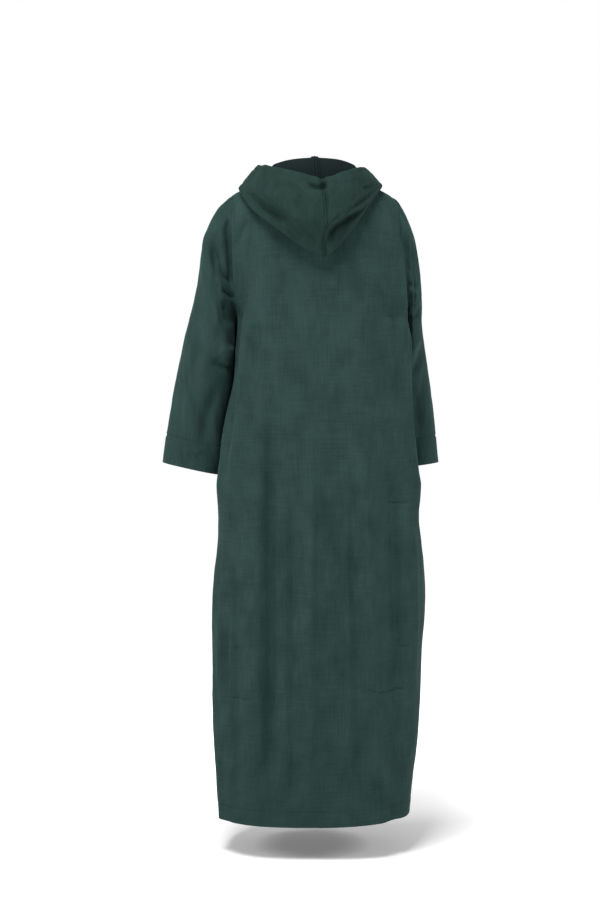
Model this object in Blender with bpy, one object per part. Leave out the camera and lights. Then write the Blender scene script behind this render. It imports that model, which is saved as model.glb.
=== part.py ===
"""Hooded thobe: an ankle-length robe with a lowered hood, hollow, in the form it has when worn.

Metres, +Z up. The front faces -Y and the left side is at +X. The origin is level with the
shoulders, on the axis of the hem, and the shoulder and side seams lie in the plane y = 0.

Each cut piece is one cloth wall with an outer and an inner face. The back and the front are read
from horizontal sections below the yoke and from rounded columns above it. A sleeve is a tube of
rings that starts on the armhole, and each half of the hood starts on the neckline, rolls over,
falls down the back and turns up again to its free rim. The panels are then divided at the underarm
and above it at the centre, and the sleeves across the arm, into simpler nodes that are not cut on
the real garment.
"""

import math
from collections import namedtuple

import bpy
import numpy as np
from mathutils import Vector
from mathutils.bvhtree import BVHTree

CLOTH = 0.0020  # thickness of every cloth wall
SEAM_GAP = 0.0003  # left between two pieces along the seam that joins them
LAY_GAP = 0.0045  # least air between the hood's under layer and the panels it lies on

# Grid of the body panels
HALF_COLUMNS = 12  # from the centre line to the side seam or the armhole
NECK_COLUMNS = 5  # of those, how many end on the neckline
SKIRT_ROWS = 17  # hem to underarm
ARM_ROWS = 6  # underarm to yoke
YOKE_ROWS = 5  # yoke to shoulder seam and neckline
PROFILE_SAMPLES = 181
RIM_ORDER = np.array((0.37, 0.21, 1.0))  # which way the edge faces of a wall are split

HEM_Z = -1.440
HEM_LIFT_RIGHT = 0.010  # how much higher the hem hangs at the right side
HEM_LIFT_REACH = 0.300
UNDERARM_Z = -0.310
YOKE_Z = -0.120
FRONT_YOKE_DROP = 0.050  # how much lower the yoke starts at the centre front, under the V
SQUARENESS_BACK = 2.7  # exponent of the panels' sections, 2 being an ellipse
SQUARENESS_FRONT = 2.2

# One row for each level: half-widths to the left and right, depths to the back and the front, how
# far the panel's edge stands from the seam plane, and the angle that its section turns through
Level = namedtuple("Level", "z left right back front opening turn")
LEVELS = (
    Level(-1.440, 0.220, 0.217, 0.160, 0.158, 0.000, 90.0),
    Level(-1.360, 0.226, 0.225, 0.160, 0.158, 0.000, 90.0),
    Level(-1.290, 0.231, 0.232, 0.159, 0.157, 0.000, 90.0),
    Level(-1.175, 0.237, 0.239, 0.157, 0.155, 0.000, 90.0),
    Level(-1.060, 0.237, 0.243, 0.154, 0.152, 0.000, 90.0),
    Level(-0.945, 0.235, 0.252, 0.150, 0.149, 0.000, 90.0),
    Level(-0.853, 0.229, 0.248, 0.147, 0.146, 0.000, 90.0),
    Level(-0.760, 0.226, 0.236, 0.144, 0.143, 0.000, 90.0),
    Level(-0.690, 0.224, 0.222, 0.142, 0.141, 0.000, 90.0),
    Level(-0.620, 0.216, 0.210, 0.140, 0.139, 0.000, 90.0),
    Level(-0.553, 0.208, 0.202, 0.138, 0.138, 0.000, 90.0),
    Level(-0.500, 0.196, 0.198, 0.137, 0.137, 0.000, 90.0),
    Level(-0.440, 0.183, 0.196, 0.136, 0.135, 0.000, 90.0),
    Level(-0.380, 0.180, 0.195, 0.135, 0.133, 0.000, 90.0),
    Level(-0.310, 0.179, 0.199, 0.133, 0.129, 0.000, 90.0),
    Level(-0.270, 0.184, 0.203, 0.132, 0.126, 0.040, 72.0),
    Level(-0.220, 0.188, 0.202, 0.130, 0.122, 0.055, 62.0),
    Level(-0.170, 0.190, 0.198, 0.127, 0.117, 0.061, 56.0),
    Level(-0.120, 0.191, 0.192, 0.122, 0.110, 0.061, 52.0),
)

# Shoulder seams and neckline
SHOULDER_LEFT = Vector((0.190, 0.0, -0.013))
SHOULDER_RIGHT = Vector((-0.170, 0.0, -0.018))
NECK_CENTRE_X = 0.008
NECK_HALF_WIDTH = 0.080
NECK_Z = 0.036
BACK_NECK_DEPTH = 0.056
BACK_NECK_Z = 0.020
BACK_NECK_TILT = 50.0  # degrees the cloth has turned through where it meets the hood
FRONT_V_DEPTH = 0.100
FRONT_V_Z = -0.098
FRONT_V_TILT = 38.0
FRONT_V_ROUNDNESS = 0.8  # below 1, the V's edge keeps forward for longer on its way up

# One row for each large fold of a panel. Across is the distance along the cloth from the panel's
# centre line, positive to the left, at the fold's top and bottom; depth is out of the cloth
Fold = namedtuple("Fold", "top bottom across_top across_bottom half_width depth")
BACK_FOLDS = (
    Fold(-0.260, -0.760, 0.188, 0.262, 0.026, 0.010),
    Fold(-0.780, -1.440, 0.262, 0.258, 0.022, 0.008),
    Fold(-0.460, -1.400, 0.100, 0.106, 0.030, -0.008),
    Fold(-0.560, -1.380, 0.014, 0.010, 0.024, 0.004),
    Fold(-0.600, -1.400, -0.118, -0.150, 0.026, 0.009),
    Fold(-0.420, -1.440, -0.165, -0.186, 0.024, -0.008),
    Fold(-0.250, -0.780, -0.236, -0.262, 0.036, 0.024),
    Fold(-0.090, -0.300, 0.128, 0.160, 0.018, -0.006),
)
FRONT_FOLDS = (
    Fold(-0.400, -1.440, 0.120, 0.130, 0.030, -0.010),
    Fold(-0.300, -1.400, 0.045, 0.060, 0.028, 0.007),
    Fold(-0.500, -1.440, -0.030, -0.045, 0.030, -0.008),
    Fold(-0.640, -1.400, -0.140, -0.150, 0.030, 0.009),
    Fold(-0.300, -0.760, -0.205, -0.215, 0.055, -0.016),
    Fold(-0.240, -0.640, 0.205, 0.215, 0.030, 0.023),
    Fold(-0.800, -1.440, 0.215, 0.222, 0.028, 0.008),
)
FOLD_FADE = 0.110  # length over which a fold starts and ends
SEAM_CALM = 0.030  # width beside a seam over which folds die out

# One row for each ring of a sleeve: its outer and inner points seen from the back, how far back
# its middle lies, and half its depth
Ring = namedtuple("Ring", "outer_x outer_z inner_x inner_z middle_y half_depth")
LEFT_SLEEVE = (
    Ring(0.203, -0.023, 0.1815, -0.3045, 0.000, 0.062),
    Ring(0.228, -0.050, 0.1850, -0.3110, 0.003, 0.066),
    Ring(0.251, -0.098, 0.1865, -0.3270, 0.005, 0.068),
    Ring(0.265, -0.158, 0.1870, -0.3450, 0.006, 0.069),
    Ring(0.274, -0.225, 0.1875, -0.3700, 0.006, 0.068),
    Ring(0.289, -0.290, 0.1890, -0.4050, 0.004, 0.066),
    Ring(0.306, -0.360, 0.1940, -0.4550, 0.001, 0.063),
    Ring(0.322, -0.435, 0.2070, -0.5100, -0.003, 0.059),
    Ring(0.336, -0.510, 0.2175, -0.5600, -0.006, 0.056),
    Ring(0.347, -0.575, 0.2225, -0.6120, -0.008, 0.053),
    Ring(0.3535, -0.627, 0.2250, -0.6560, -0.010, 0.052),
)
RIGHT_SLEEVE = (
    Ring(-0.180, -0.027, -0.2025, -0.3045, 0.000, 0.062),
    Ring(-0.198, -0.058, -0.2060, -0.3110, -0.004, 0.065),
    Ring(-0.219, -0.104, -0.2075, -0.3270, -0.010, 0.067),
    Ring(-0.234, -0.165, -0.2085, -0.3480, -0.020, 0.068),
    Ring(-0.2430, -0.235, -0.2080, -0.3800, -0.034, 0.067),
    Ring(-0.2462, -0.305, -0.2020, -0.4200, -0.052, 0.065),
    Ring(-0.2564, -0.380, -0.1945, -0.4650, -0.076, 0.063),
    Ring(-0.2696, -0.455, -0.1910, -0.5130, -0.098, 0.062),
    Ring(-0.2793, -0.530, -0.1890, -0.5650, -0.114, 0.062),
    Ring(-0.2867, -0.592, -0.1890, -0.6120, -0.124, 0.063),
    Ring(-0.2906, -0.632, -0.1900, -0.6440, -0.128, 0.063),
)
SLEEVE_ROWS = 14
LEFT_SLEEVE_CUTS = (("upper", 6),)  # name of each node above the lower one, and the row it ends at
RIGHT_SLEEVE_CUTS = (("upper", 6), ("middle", 10))  # one more, because this arm is bent further
SLEEVE_SQUARENESS = 2.2
SLEEVE_FOLD_FADE = 0.30  # share of a sleeve fold's length over which it starts and ends
BULGE_REACH = 0.50  # share of the sleeve over which the armhole's own bow dies out

# One row for each fold of a sleeve: where it runs along the sleeve, from 0 at the armhole to 1 at
# the cuff, and round it, in degrees from its outer point by way of the back
SleeveFold = namedtuple("SleeveFold", "along_start along_end turn_start turn_end half_width depth")
LEFT_SLEEVE_FOLDS = (
    SleeveFold(0.10, 0.42, 55.0, 120.0, 16.0, -0.007),
    SleeveFold(0.22, 0.60, 95.0, 140.0, 18.0, 0.006),
    SleeveFold(0.62, 0.95, 100.0, 125.0, 20.0, -0.005),
    SleeveFold(0.15, 0.55, 290.0, 240.0, 18.0, -0.007),
)
RIGHT_SLEEVE_FOLDS = (
    SleeveFold(0.08, 0.40, 50.0, 100.0, 16.0, -0.007),
    SleeveFold(0.25, 0.60, 80.0, 60.0, 18.0, 0.005),
    SleeveFold(0.62, 0.92, 70.0, 85.0, 20.0, -0.005),
    SleeveFold(0.15, 0.55, 290.0, 240.0, 18.0, -0.007),
)

# One row for each section of the hood, from the centre back at 0 round the neck to the point of
# the V at 1: the roll over the neckline, the bottom fold, the free rim, how far the crown layer
# stands off the under layer, where on its way up it has its crease, and how much of that distance
# it steps out there at once
Profile = namedtuple(
    "Profile",
    "along roll_x roll_y roll_z fold_x fold_y fold_z rim_x rim_y rim_z puff crease step",
)
HOOD_LEFT = (
    Profile(0, 0.004, 0.082, 0.061, -0.0155, 0.15, -0.167, -0.0115, 0.182, 0.006, 0.026, 0.18, 0.5),
    Profile(0.14, 0.032, 0.079, 0.06, 0.036, 0.15, -0.138, 0.026, 0.176, 0.017, 0.028, 0.08, 0.3),
    Profile(0.28, 0.06, 0.066, 0.058, 0.088, 0.143, -0.1, 0.072, 0.158, 0.029, 0.026, 0.06, 0.25),
    Profile(0.4, 0.082, 0.042, 0.055, 0.141, 0.108, -0.057, 0.111, 0.118, 0.041, 0.013, 0.06, 0.25),
    Profile(0.5, 0.096, 0.01, 0.052, 0.172, 0.05, -0.01, 0.132, 0.062, 0.046, 0.002, 0.08, 0.3),
    Profile(0.62, 0.09, -0.03, 0.038, 0.154, -0.04, -0.01, 0.122, -0.004, 0.034, 0.002, 0.08, 0.3),
    Profile(0.75, 0.07, -0.07, 0.012, 0.118, -0.104, -0.046, 0.102, -0.076, 0.009, 0.004, 0.1, 0.3),
    Profile(0.88, 0.047, -0.094, -0.026, 0.076, -0.126, -0.076, 0.068, -0.108, -0.032, 0.003, 0.12, 0.3),
    Profile(1, 0.027, -0.106, -0.058, 0.042, -0.132, -0.102, 0.04, -0.124, -0.07, 0.002, 0.12, 0.3),
)
HOOD_RIGHT = (
    Profile(0, 0.004, 0.082, 0.061, -0.0155, 0.15, -0.167, -0.0115, 0.182, 0.006, 0.026, 0.18, 0.5),
    Profile(0.14, -0.024, 0.079, 0.06, -0.048, 0.15, -0.138, -0.04, 0.176, 0.015, 0.03, 0.34, 0.85),
    Profile(0.28, -0.052, 0.066, 0.058, -0.08, 0.144, -0.1, -0.074, 0.158, 0.029, 0.028, 0.36, 0.85),
    Profile(0.4, -0.074, 0.042, 0.054, -0.114, 0.11, -0.05, -0.1, 0.118, 0.037, 0.017, 0.26, 0.7),
    Profile(0.5, -0.086, 0.01, 0.05, -0.145, 0.054, -0.005, -0.112, 0.062, 0.041, 0.002, 0.12, 0.4),
    Profile(0.62, -0.076, -0.03, 0.036, -0.134, -0.04, -0.01, -0.108, -0.004, 0.032, 0.002, 0.08, 0.3),
    Profile(0.75, -0.056, -0.07, 0.011, -0.104, -0.104, -0.046, -0.088, -0.076, 0.008, 0.004, 0.1, 0.3),
    Profile(0.88, -0.031, -0.094, -0.026, -0.06, -0.126, -0.076, -0.052, -0.108, -0.032, 0.003, 0.12, 0.3),
    Profile(1, -0.011, -0.106, -0.058, -0.026, -0.132, -0.102, -0.024, -0.124, -0.07, 0.002, 0.12, 0.3),
)
HOOD_FOLD_RADIUS = 0.006  # of the turn at the bottom fold, at the centre back
HOOD_SIDE_RADIUS = 0.0035  # and where the fold lies on the shoulders and in front
SIDE_START = 0.20  # where along the hood the turn starts to tighten, and over how much of it
SIDE_REACH = 0.30
HOOD_KNEE = 0.003  # how far the hood runs on inward from the neckline before it bends up
HOOD_STAND = 0.005  # and before it stands up
STAND_SHARE = 0.45  # how much of the way up to the roll it stands there
ROLL_DROP = 0.012  # from the top of the roll to the start of the under layer, out and down
UNDER_SHARES = (0.35, 0.60, 0.82)  # places down the under layer that are kept off the panels
CREASE_FOOT = 0.60  # share of the crease's height up to which the crown layer rises plainly
CREASE_PUFF = 0.10  # share of the puff that it has just below the crease
CREASE_LIP = 0.015  # share of the way up over which the crease steps out
CREASE_SLOPE = 0.10  # and how much longer the step is where it is soft
CREASE_RUN = 0.20  # share of the way up from the crease to the full puff
CROWN_FULL = 0.68  # where on its way up the full puff ends
CROWN_EASE = 0.86  # and where half of it is left
HOOD_FRONT_OPEN = 1  # columns left free on each side of the point of the V
# Steps between the points that a hood section passes through, from the neckline to the rim
HOOD_STEPS = (1, 1, 1, 1, 1, 1, 1, 1, 1, 1, 1, 1, 1, 1, 2, 1, 1)
NECK_INSIDE = (0.008, 0.0, 0.086)  # a point over the neck opening, which the hood's edge turns to

# Finish: colour of the cloth's face, a brushed dark green, and of each piece's shade of it
GREEN_FACE = (0.028, 0.058, 0.052, 1.0)
GREEN_HOOD = (0.032, 0.066, 0.058, 1.0)
CLOTH_ROUGHNESS = 0.85
SHARP_ANGLE = 50.0  # degrees between faces beyond which an edge is drawn sharp


def smooth_read(places, values, place):
    """Value at a place on a smooth curve through a table's values."""
    places = np.asarray(places, dtype=float)
    values = np.asarray(values, dtype=float)
    if places[0] > places[-1]:
        places = places[::-1]
        values = values[::-1]
    slopes = np.gradient(values, places, axis=0)
    index = int(np.clip(np.searchsorted(places, place) - 1, 0, len(places) - 2))
    span = places[index + 1] - places[index]
    share = float(np.clip((place - places[index]) / span, 0.0, 1.0))
    square = share * share
    cube = square * share
    return (
        (2.0 * cube - 3.0 * square + 1.0) * values[index]
        + (cube - 2.0 * square + share) * span * slopes[index]
        + (3.0 * square - 2.0 * cube) * values[index + 1]
        + (cube - square) * span * slopes[index + 1]
    )


def smooth_row(table, place, key):
    """A whole row of a table, read between its rows along the named column."""
    places = [getattr(row, key) for row in table]
    return type(table[0])(*smooth_read(places, table, place))


def fade(distance, reach):
    """0 at a distance of 0, rising smoothly to 1 at the reach."""
    share = np.clip(distance / reach, 0.0, 1.0)
    return share * share * (3.0 - 2.0 * share)


def unit(vectors):
    """Vectors of an array brought to length 1."""
    lengths = np.linalg.norm(vectors, axis=-1, keepdims=True)
    return vectors / np.maximum(lengths, 1e-12)


def half_section(width, depth, level, squareness):
    """Half of a panel's section: distance across and out, evenly spaced along the cloth."""
    power = 2.0 / squareness
    turn = math.radians(level.turn)
    angles = np.linspace(0.0, turn, PROFILE_SAMPLES)
    end = max(math.cos(turn), 0.0) ** power
    across = width * (np.sin(angles) / math.sin(turn)) ** power
    rise = (np.maximum(np.cos(angles), 0.0) ** power - end) / (1.0 - end)
    out = level.opening + (depth - level.opening) * rise
    steps = np.hypot(np.diff(across), np.diff(out))
    lengths = np.concatenate(([0.0], np.cumsum(steps)))
    even = np.linspace(0.0, lengths[-1], HALF_COLUMNS + 1)
    return np.interp(even, lengths, across), np.interp(even, lengths, out), even


def level_row(z, side):
    """Points of a panel's level row from right to left, and their distance along the cloth."""
    level = smooth_row(LEVELS, z, "z")
    depth = level.back if side > 0 else level.front
    squareness = SQUARENESS_BACK if side > 0 else SQUARENESS_FRONT
    left_x, left_y, left_along = half_section(level.left, depth, level, squareness)
    right_x, right_y, right_along = half_section(level.right, depth, level, squareness)
    x = np.concatenate((-right_x[:0:-1], left_x))
    y = np.concatenate((right_y[:0:-1], left_y)) * side
    along = np.concatenate((-right_along[:0:-1], left_along))
    return np.column_stack((x, y, np.full(len(x), z))), along


def top_edge(side):
    """Shoulder seams and neckline of a panel from right to left, and each column's last angle."""
    points = []
    tilts = []
    for column in range(-HALF_COLUMNS, HALF_COLUMNS + 1):
        sign = 1.0 if column >= 0 else -1.0
        neck = Vector((NECK_CENTRE_X + sign * NECK_HALF_WIDTH, 0.0, NECK_Z))
        if abs(column) > NECK_COLUMNS:
            shoulder = SHOULDER_LEFT if column > 0 else SHOULDER_RIGHT
            share = (abs(column) - NECK_COLUMNS) / (HALF_COLUMNS - NECK_COLUMNS)
            points.append(neck.lerp(shoulder, share))
            tilts.append(90.0)
            continue
        share = abs(column) / NECK_COLUMNS
        angle = 0.5 * math.pi * share
        if side > 0:
            across = math.sin(angle)
            out = BACK_NECK_DEPTH * math.cos(angle)
            height = NECK_Z + (BACK_NECK_Z - NECK_Z) * math.cos(angle)
            tilt = 90.0 + (BACK_NECK_TILT - 90.0) * math.cos(angle)
        else:
            across = share
            out = -FRONT_V_DEPTH * math.cos(angle) ** FRONT_V_ROUNDNESS
            height = NECK_Z + (FRONT_V_Z - NECK_Z) * (1.0 - share)
            tilt = 90.0 + (FRONT_V_TILT - 90.0) * math.cos(angle)
        x = NECK_CENTRE_X + sign * across * NECK_HALF_WIDTH
        points.append(Vector((x, out, height)))
        tilts.append(tilt)
    return np.array(points), np.radians(tilts)


def fold_offset(folds, z, along):
    """How far the folds push each point of a row out of the cloth."""
    offset = np.zeros_like(along)
    for fold in folds:
        share = (fold.top - z) / (fold.top - fold.bottom)
        centre = fold.across_top + (fold.across_bottom - fold.across_top) * np.clip(share, 0.0, 1.0)
        shape = np.exp(-(((along - centre) / fold.half_width) ** 2))
        ends = fade(fold.top - z, FOLD_FADE)
        if fold.bottom > HEM_Z:
            ends = ends * fade(z - fold.bottom, FOLD_FADE)
        offset += fold.depth * shape * ends
    return offset * fade(along - along[0], SEAM_CALM) * fade(along[-1] - along, SEAM_CALM)


def grid_normals(points, closed, flip):
    """Unit normals of a grid of points, whose columns may close on themselves."""
    if closed:
        across = np.roll(points, -1, axis=1) - np.roll(points, 1, axis=1)
    else:
        across = np.gradient(points, axis=1)
    up = np.gradient(points, axis=0)
    return unit(np.cross(across, up)) * flip


def seam_normals(seam, direction, outward):
    """Normals along a seam whose two pieces meet square to a direction, facing outward."""
    normals = unit(np.cross(np.gradient(seam, axis=0), direction))
    signs = np.where(np.sum(normals * outward, axis=1) < 0.0, -1.0, 1.0)
    return normals * signs[:, None]


def body_panel(side):
    """Outer and inner points of the back (side 1) or the front (side -1), hem first."""
    folds = BACK_FOLDS if side > 0 else FRONT_FOLDS
    levels = np.concatenate(
        (
            np.linspace(HEM_Z, UNDERARM_Z, SKIRT_ROWS),
            np.linspace(UNDERARM_Z, YOKE_Z, ARM_ROWS + 1)[1:],
        )
    )
    rows = []
    offsets = []
    signed_shares = np.arange(-HALF_COLUMNS, HALF_COLUMNS + 1) / HALF_COLUMNS
    shares = np.abs(signed_shares)
    drop = 0.0 if side > 0 else FRONT_YOKE_DROP
    for z in levels:
        row, along = level_row(z, side)
        rise = fade(z - UNDERARM_Z, YOKE_Z - UNDERARM_Z)
        row[:, 2] -= drop * rise * (1.0 - fade(shares, 1.0))
        lift = HEM_LIFT_RIGHT * fade(HEM_Z + HEM_LIFT_REACH - z, HEM_LIFT_REACH)
        row[:, 2] += lift * fade(-signed_shares, 1.0)
        rows.append(row)
        offsets.append(fold_offset(folds, z, along))
    base = rows[-1]
    top, tilts = top_edge(side)
    for step in range(1, YOKE_ROWS + 1):
        angles = tilts * step / YOKE_ROWS
        near = ((np.cos(angles) - np.cos(tilts)) / (1.0 - np.cos(tilts)))[:, None]
        rise = (np.sin(angles) / np.sin(tilts))[:, None]
        row = top + (base - top) * near
        row[:, 2] = (base + (top - base) * rise)[:, 2]
        rows.append(row)
        offsets.append(offsets[len(levels) - 1] * (1.0 - fade(step, YOKE_ROWS)))
    outer = np.array(rows)
    outer += grid_normals(outer, False, -side) * np.array(offsets)[:, :, None]

    seam_plane = side * 0.5 * SEAM_GAP
    for edge in (0, -1):
        outer[:SKIRT_ROWS, edge, 1] = seam_plane
        outer[-1, edge, 1] = seam_plane
    shoulders = np.abs(np.arange(-HALF_COLUMNS, HALF_COLUMNS + 1)) >= NECK_COLUMNS
    outer[-1, shoulders, 1] = seam_plane

    normals = grid_normals(outer, False, -side)
    square = np.array((0.0, 1.0, 0.0))
    for edge in (0, -1):
        seam = slice(0, SKIRT_ROWS)
        normals[seam, edge] = seam_normals(outer[seam, edge], square, normals[seam, edge])
    first = HALF_COLUMNS - NECK_COLUMNS
    for seam in (slice(0, first + 1), slice(-first - 1, None)):
        normals[-1, seam] = seam_normals(outer[-1, seam], square, normals[-1, seam])
    return outer, outer - normals * CLOTH


def seam_start(outer, inner, hole_centre):
    """First row of a piece that is sewn along an edge, a seam's gap beyond it."""
    along = np.gradient(outer, axis=0)
    away = unit(np.cross(along, outer - inner))
    signs = np.where(np.sum(away * (hole_centre - outer), axis=1) < 0.0, -1.0, 1.0)
    away = away * signs[:, None]
    return outer + away * SEAM_GAP, inner + away * SEAM_GAP, away


def armhole_ring(back, front, left):
    """Outer and inner points round an armhole, from the shoulder down the back and up the front."""
    edge = -1 if left else 0
    rows = slice(SKIRT_ROWS - 1, None)
    faces = []
    for back_face, front_face in zip(back, front):
        down = back_face[rows, edge][::-1]
        up = front_face[rows, edge]
        shoulder = 0.5 * (down[0] + up[-1])
        underarm = 0.5 * (down[-1] + up[0])
        faces.append(np.vstack((shoulder, down[1:-1], underarm, up[1:-1])))
    centre = faces[0].mean(axis=0)
    looped = [np.vstack((face[-1], face, face[0])) for face in faces]
    outer, inner, _ = seam_start(looped[0], looped[1], centre)
    return outer[1:-1], inner[1:-1]


def plain_ring(ring, reach, depth):
    """A plain ring about its own middle, as the sleeve's table gives it."""
    half_x = 0.5 * (ring.outer_x - ring.inner_x)
    half_z = 0.5 * (ring.outer_z - ring.inner_z)
    return np.column_stack((half_x * reach, ring.half_depth * depth, half_z * reach))


def sleeve(back, front, table, folds, left):
    """Outer and inner points of a sleeve, armhole first."""
    ring_outer, ring_inner = armhole_ring(back, front, left)
    count = len(ring_outer)
    half = count // 2
    steps = np.linalg.norm(np.diff(ring_outer, axis=0, append=ring_outer[:1]), axis=1)
    lengths = np.concatenate(([0.0], np.cumsum(steps)))
    angles = np.empty(count)
    angles[: half + 1] = math.pi * lengths[: half + 1] / lengths[half]
    front_share = (lengths[half:-1] - lengths[half]) / (lengths[-1] - lengths[half])
    angles[half:] = math.pi * (1.0 + front_share)
    power = 2.0 / SLEEVE_SQUARENESS
    reach = np.sign(np.cos(angles)) * np.abs(np.cos(angles)) ** power
    depth = np.sign(np.sin(angles)) * np.abs(np.sin(angles)) ** power

    # The first rings still carry the way that the armhole bows out of a plain ring
    bulge = ring_outer - 0.5 * (ring_outer[0] + ring_outer[half]) - plain_ring(table[0], reach, depth)
    bulge -= np.outer(reach, bulge[0])
    places = np.linspace(0.0, 1.0, len(table))
    rows = [ring_outer]
    for share in np.linspace(0.0, 1.0, SLEEVE_ROWS):
        ring = Ring(*smooth_read(places, table, share))
        middle_x = 0.5 * (ring.outer_x + ring.inner_x)
        middle_z = 0.5 * (ring.outer_z + ring.inner_z)
        row = plain_ring(ring, reach, depth) + np.array((middle_x, ring.middle_y, middle_z))
        rows.append(row + bulge * (1.0 - fade(share, BULGE_REACH)))
    outer = np.array(rows)
    flip = -1.0 if left else 1.0
    normals = grid_normals(outer, True, flip)
    turns = np.degrees(angles)
    for row in range(2, len(outer)):
        share = (row - 1) / (SLEEVE_ROWS - 1)
        offset = np.zeros(count)
        for fold in folds:
            along = (share - fold.along_start) / (fold.along_end - fold.along_start)
            centre = fold.turn_start + (fold.turn_end - fold.turn_start) * along
            ends = fade(along, SLEEVE_FOLD_FADE) * fade(1.0 - along, SLEEVE_FOLD_FADE)
            offset += fold.depth * ends * np.exp(-(((turns - centre) / fold.half_width) ** 2))
        outer[row] += normals[row] * offset[:, None]
    normals = grid_normals(outer, True, flip)
    inner = outer - normals * CLOTH
    inner[0] = ring_inner
    return outer, inner


def spline(points, steps):
    """Points on a smooth curve through the given points, with so many steps between each two."""
    points = np.asarray(points, dtype=float)
    lengths = np.linalg.norm(np.diff(points, axis=0), axis=1)
    places = np.concatenate(([0.0], np.cumsum(np.sqrt(lengths))))
    curve = [points[0]]
    for index, count in enumerate(steps):
        for share in np.linspace(0.0, 1.0, count + 1)[1:]:
            place = places[index] + (places[index + 1] - places[index]) * share
            curve.append(smooth_read(places, points, place))
    return np.array(curve)


def panel_tree(panels):
    """Search tree over the outer faces of the panels."""
    points = []
    faces = []
    for outer, side in panels:
        start = len(points)
        rows, columns = outer.shape[:2]
        points.extend(Vector(point) for point in outer.reshape(-1, 3))
        for row in range(rows - 1):
            for column in range(columns - 1):
                a = start + row * columns + column
                quad = (a, a + 1, a + columns + 1, a + columns)
                faces.append(quad if side < 0 else quad[::-1])
    return BVHTree.FromPolygons(points, faces)


def lifted(point, tree, gap):
    """The point, moved out to at least the gap from the panels."""
    near, normal, _, _ = tree.find_nearest(Vector(point))
    height = (Vector(point) - near).dot(normal)
    if height >= gap:
        return np.asarray(point, dtype=float)
    return np.array(near + normal * gap)


def neck_edge(back, front, left):
    """Outer and inner neckline points of one half, from the centre back to the point of the V."""
    middle = HALF_COLUMNS
    faces = []
    for back_face, front_face in zip(back, front):
        if left:
            behind = back_face[-1, middle : middle + NECK_COLUMNS + 1]
            ahead = front_face[-1, middle + HOOD_FRONT_OPEN : middle + NECK_COLUMNS + 1][::-1]
        else:
            behind = back_face[-1, middle - NECK_COLUMNS : middle + 1][::-1]
            ahead = front_face[-1, middle - NECK_COLUMNS : middle - HOOD_FRONT_OPEN + 1]
        side_point = 0.5 * (behind[-1] + ahead[0])
        faces.append(np.vstack((behind[:-1], side_point, ahead[1:])))
    return faces


def with_midpoints(points):
    """The points with one more halfway along each step."""
    middles = 0.5 * (points[:-1] + points[1:])
    mixed = np.empty((len(points) + len(middles), 3))
    mixed[0::2] = points
    mixed[1::2] = middles
    return mixed


def hood_half(back, front, table, left, tree):
    """Outer and inner points of half the hood, whose columns run from the neckline to the rim."""
    edge_outer, edge_inner = neck_edge(back, front, left)
    _, _, away = seam_start(edge_outer, edge_inner, np.array(NECK_INSIDE))
    away[0, 0] = 0.0
    away = unit(away)
    starts = (edge_outer + away * SEAM_GAP, edge_inner + away * SEAM_GAP, away)
    start_outer, start_inner, away = (with_midpoints(points) for points in starts)
    columns = []
    for index, start in enumerate(start_outer):
        share = index / (len(start_outer) - 1)
        section = smooth_row(table, share, "along")
        roll = np.array((section.roll_x, section.roll_y, section.roll_z))
        fold = np.array((section.fold_x, section.fold_y, section.fold_z))
        rim = np.array((section.rim_x, section.rim_y, section.rim_z))
        outward = unit(np.array((fold[0] - start[0], fold[1] - start[1], 0.0)))
        tighten = fade(share - SIDE_START, SIDE_REACH)
        radius = HOOD_FOLD_RADIUS + (HOOD_SIDE_RADIUS - HOOD_FOLD_RADIUS) * tighten
        knee = start + away[index] * HOOD_KNEE
        stand = start + away[index] * HOOD_STAND
        stand[2] += STAND_SHARE * (roll[2] - stand[2])
        under_start = roll + (outward - np.array((0.0, 0.0, 1.0))) * ROLL_DROP
        under = [lifted(roll + (fold - roll) * part, tree, LAY_GAP) for part in UNDER_SHARES]
        low = lifted(fold, tree, LAY_GAP)
        normal = unit(np.cross(low - roll, np.array((-outward[1], outward[0], 0.0))))
        if np.dot(normal, outward) < 0.0:
            normal = -normal
        turn = low + normal * radius + unit(low - under[-1]) * radius * 0.5
        over = low + normal * 2.0 * radius
        crest = rim - over
        crease = section.crease
        puff = normal * section.puff
        lip = crease + CREASE_LIP + CREASE_SLOPE * (1.0 - section.step)
        crown = (
            over + crest * crease * CREASE_FOOT,
            over + crest * crease + puff * CREASE_PUFF,
            over + crest * lip + puff * section.step,
            over + crest * (crease + CREASE_RUN) + puff,
            over + crest * CROWN_FULL + puff,
            over + crest * CROWN_EASE + puff * 0.5,
            rim,
        )
        crown = [lifted(point, tree, LAY_GAP + 2.0 * radius) for point in crown]
        way = [start, knee, stand, roll, under_start, *under, low, turn, over, *crown]
        columns.append(spline(way, HOOD_STEPS))
    outer = np.array(columns).transpose(1, 0, 2)
    outer[0] = start_outer
    half_gap = 0.5 * SEAM_GAP * (1.0 if left else -1.0)
    outer[:, 0, 0] += half_gap
    flip = -1.0 if left else 1.0
    normals = grid_normals(outer, False, flip)
    square = np.array((1.0, 0.0, 0.0))
    normals[:, 0] = seam_normals(outer[:, 0], square, normals[:, 0])
    inner = outer - normals * CLOTH
    inner[0] = start_inner
    inner[0, 0, 0] += half_gap
    return outer, inner


def divided(faces, index, axis):
    """The two parts of a wall's grids on each side of a row (axis 0) or a column (axis 1)."""
    parts = []
    for places, edge, beside in ((slice(None, index + 1), -1, -2), (slice(index, None), 0, 1)):
        grids = []
        for face in faces:
            grid = np.moveaxis(face, axis, 0)[places].copy()
            grid[edge] += unit(grid[beside] - grid[edge]) * 0.5 * SEAM_GAP
            grids.append(np.moveaxis(grid, 0, axis))
        parts.append(grids)
    return parts


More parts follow.
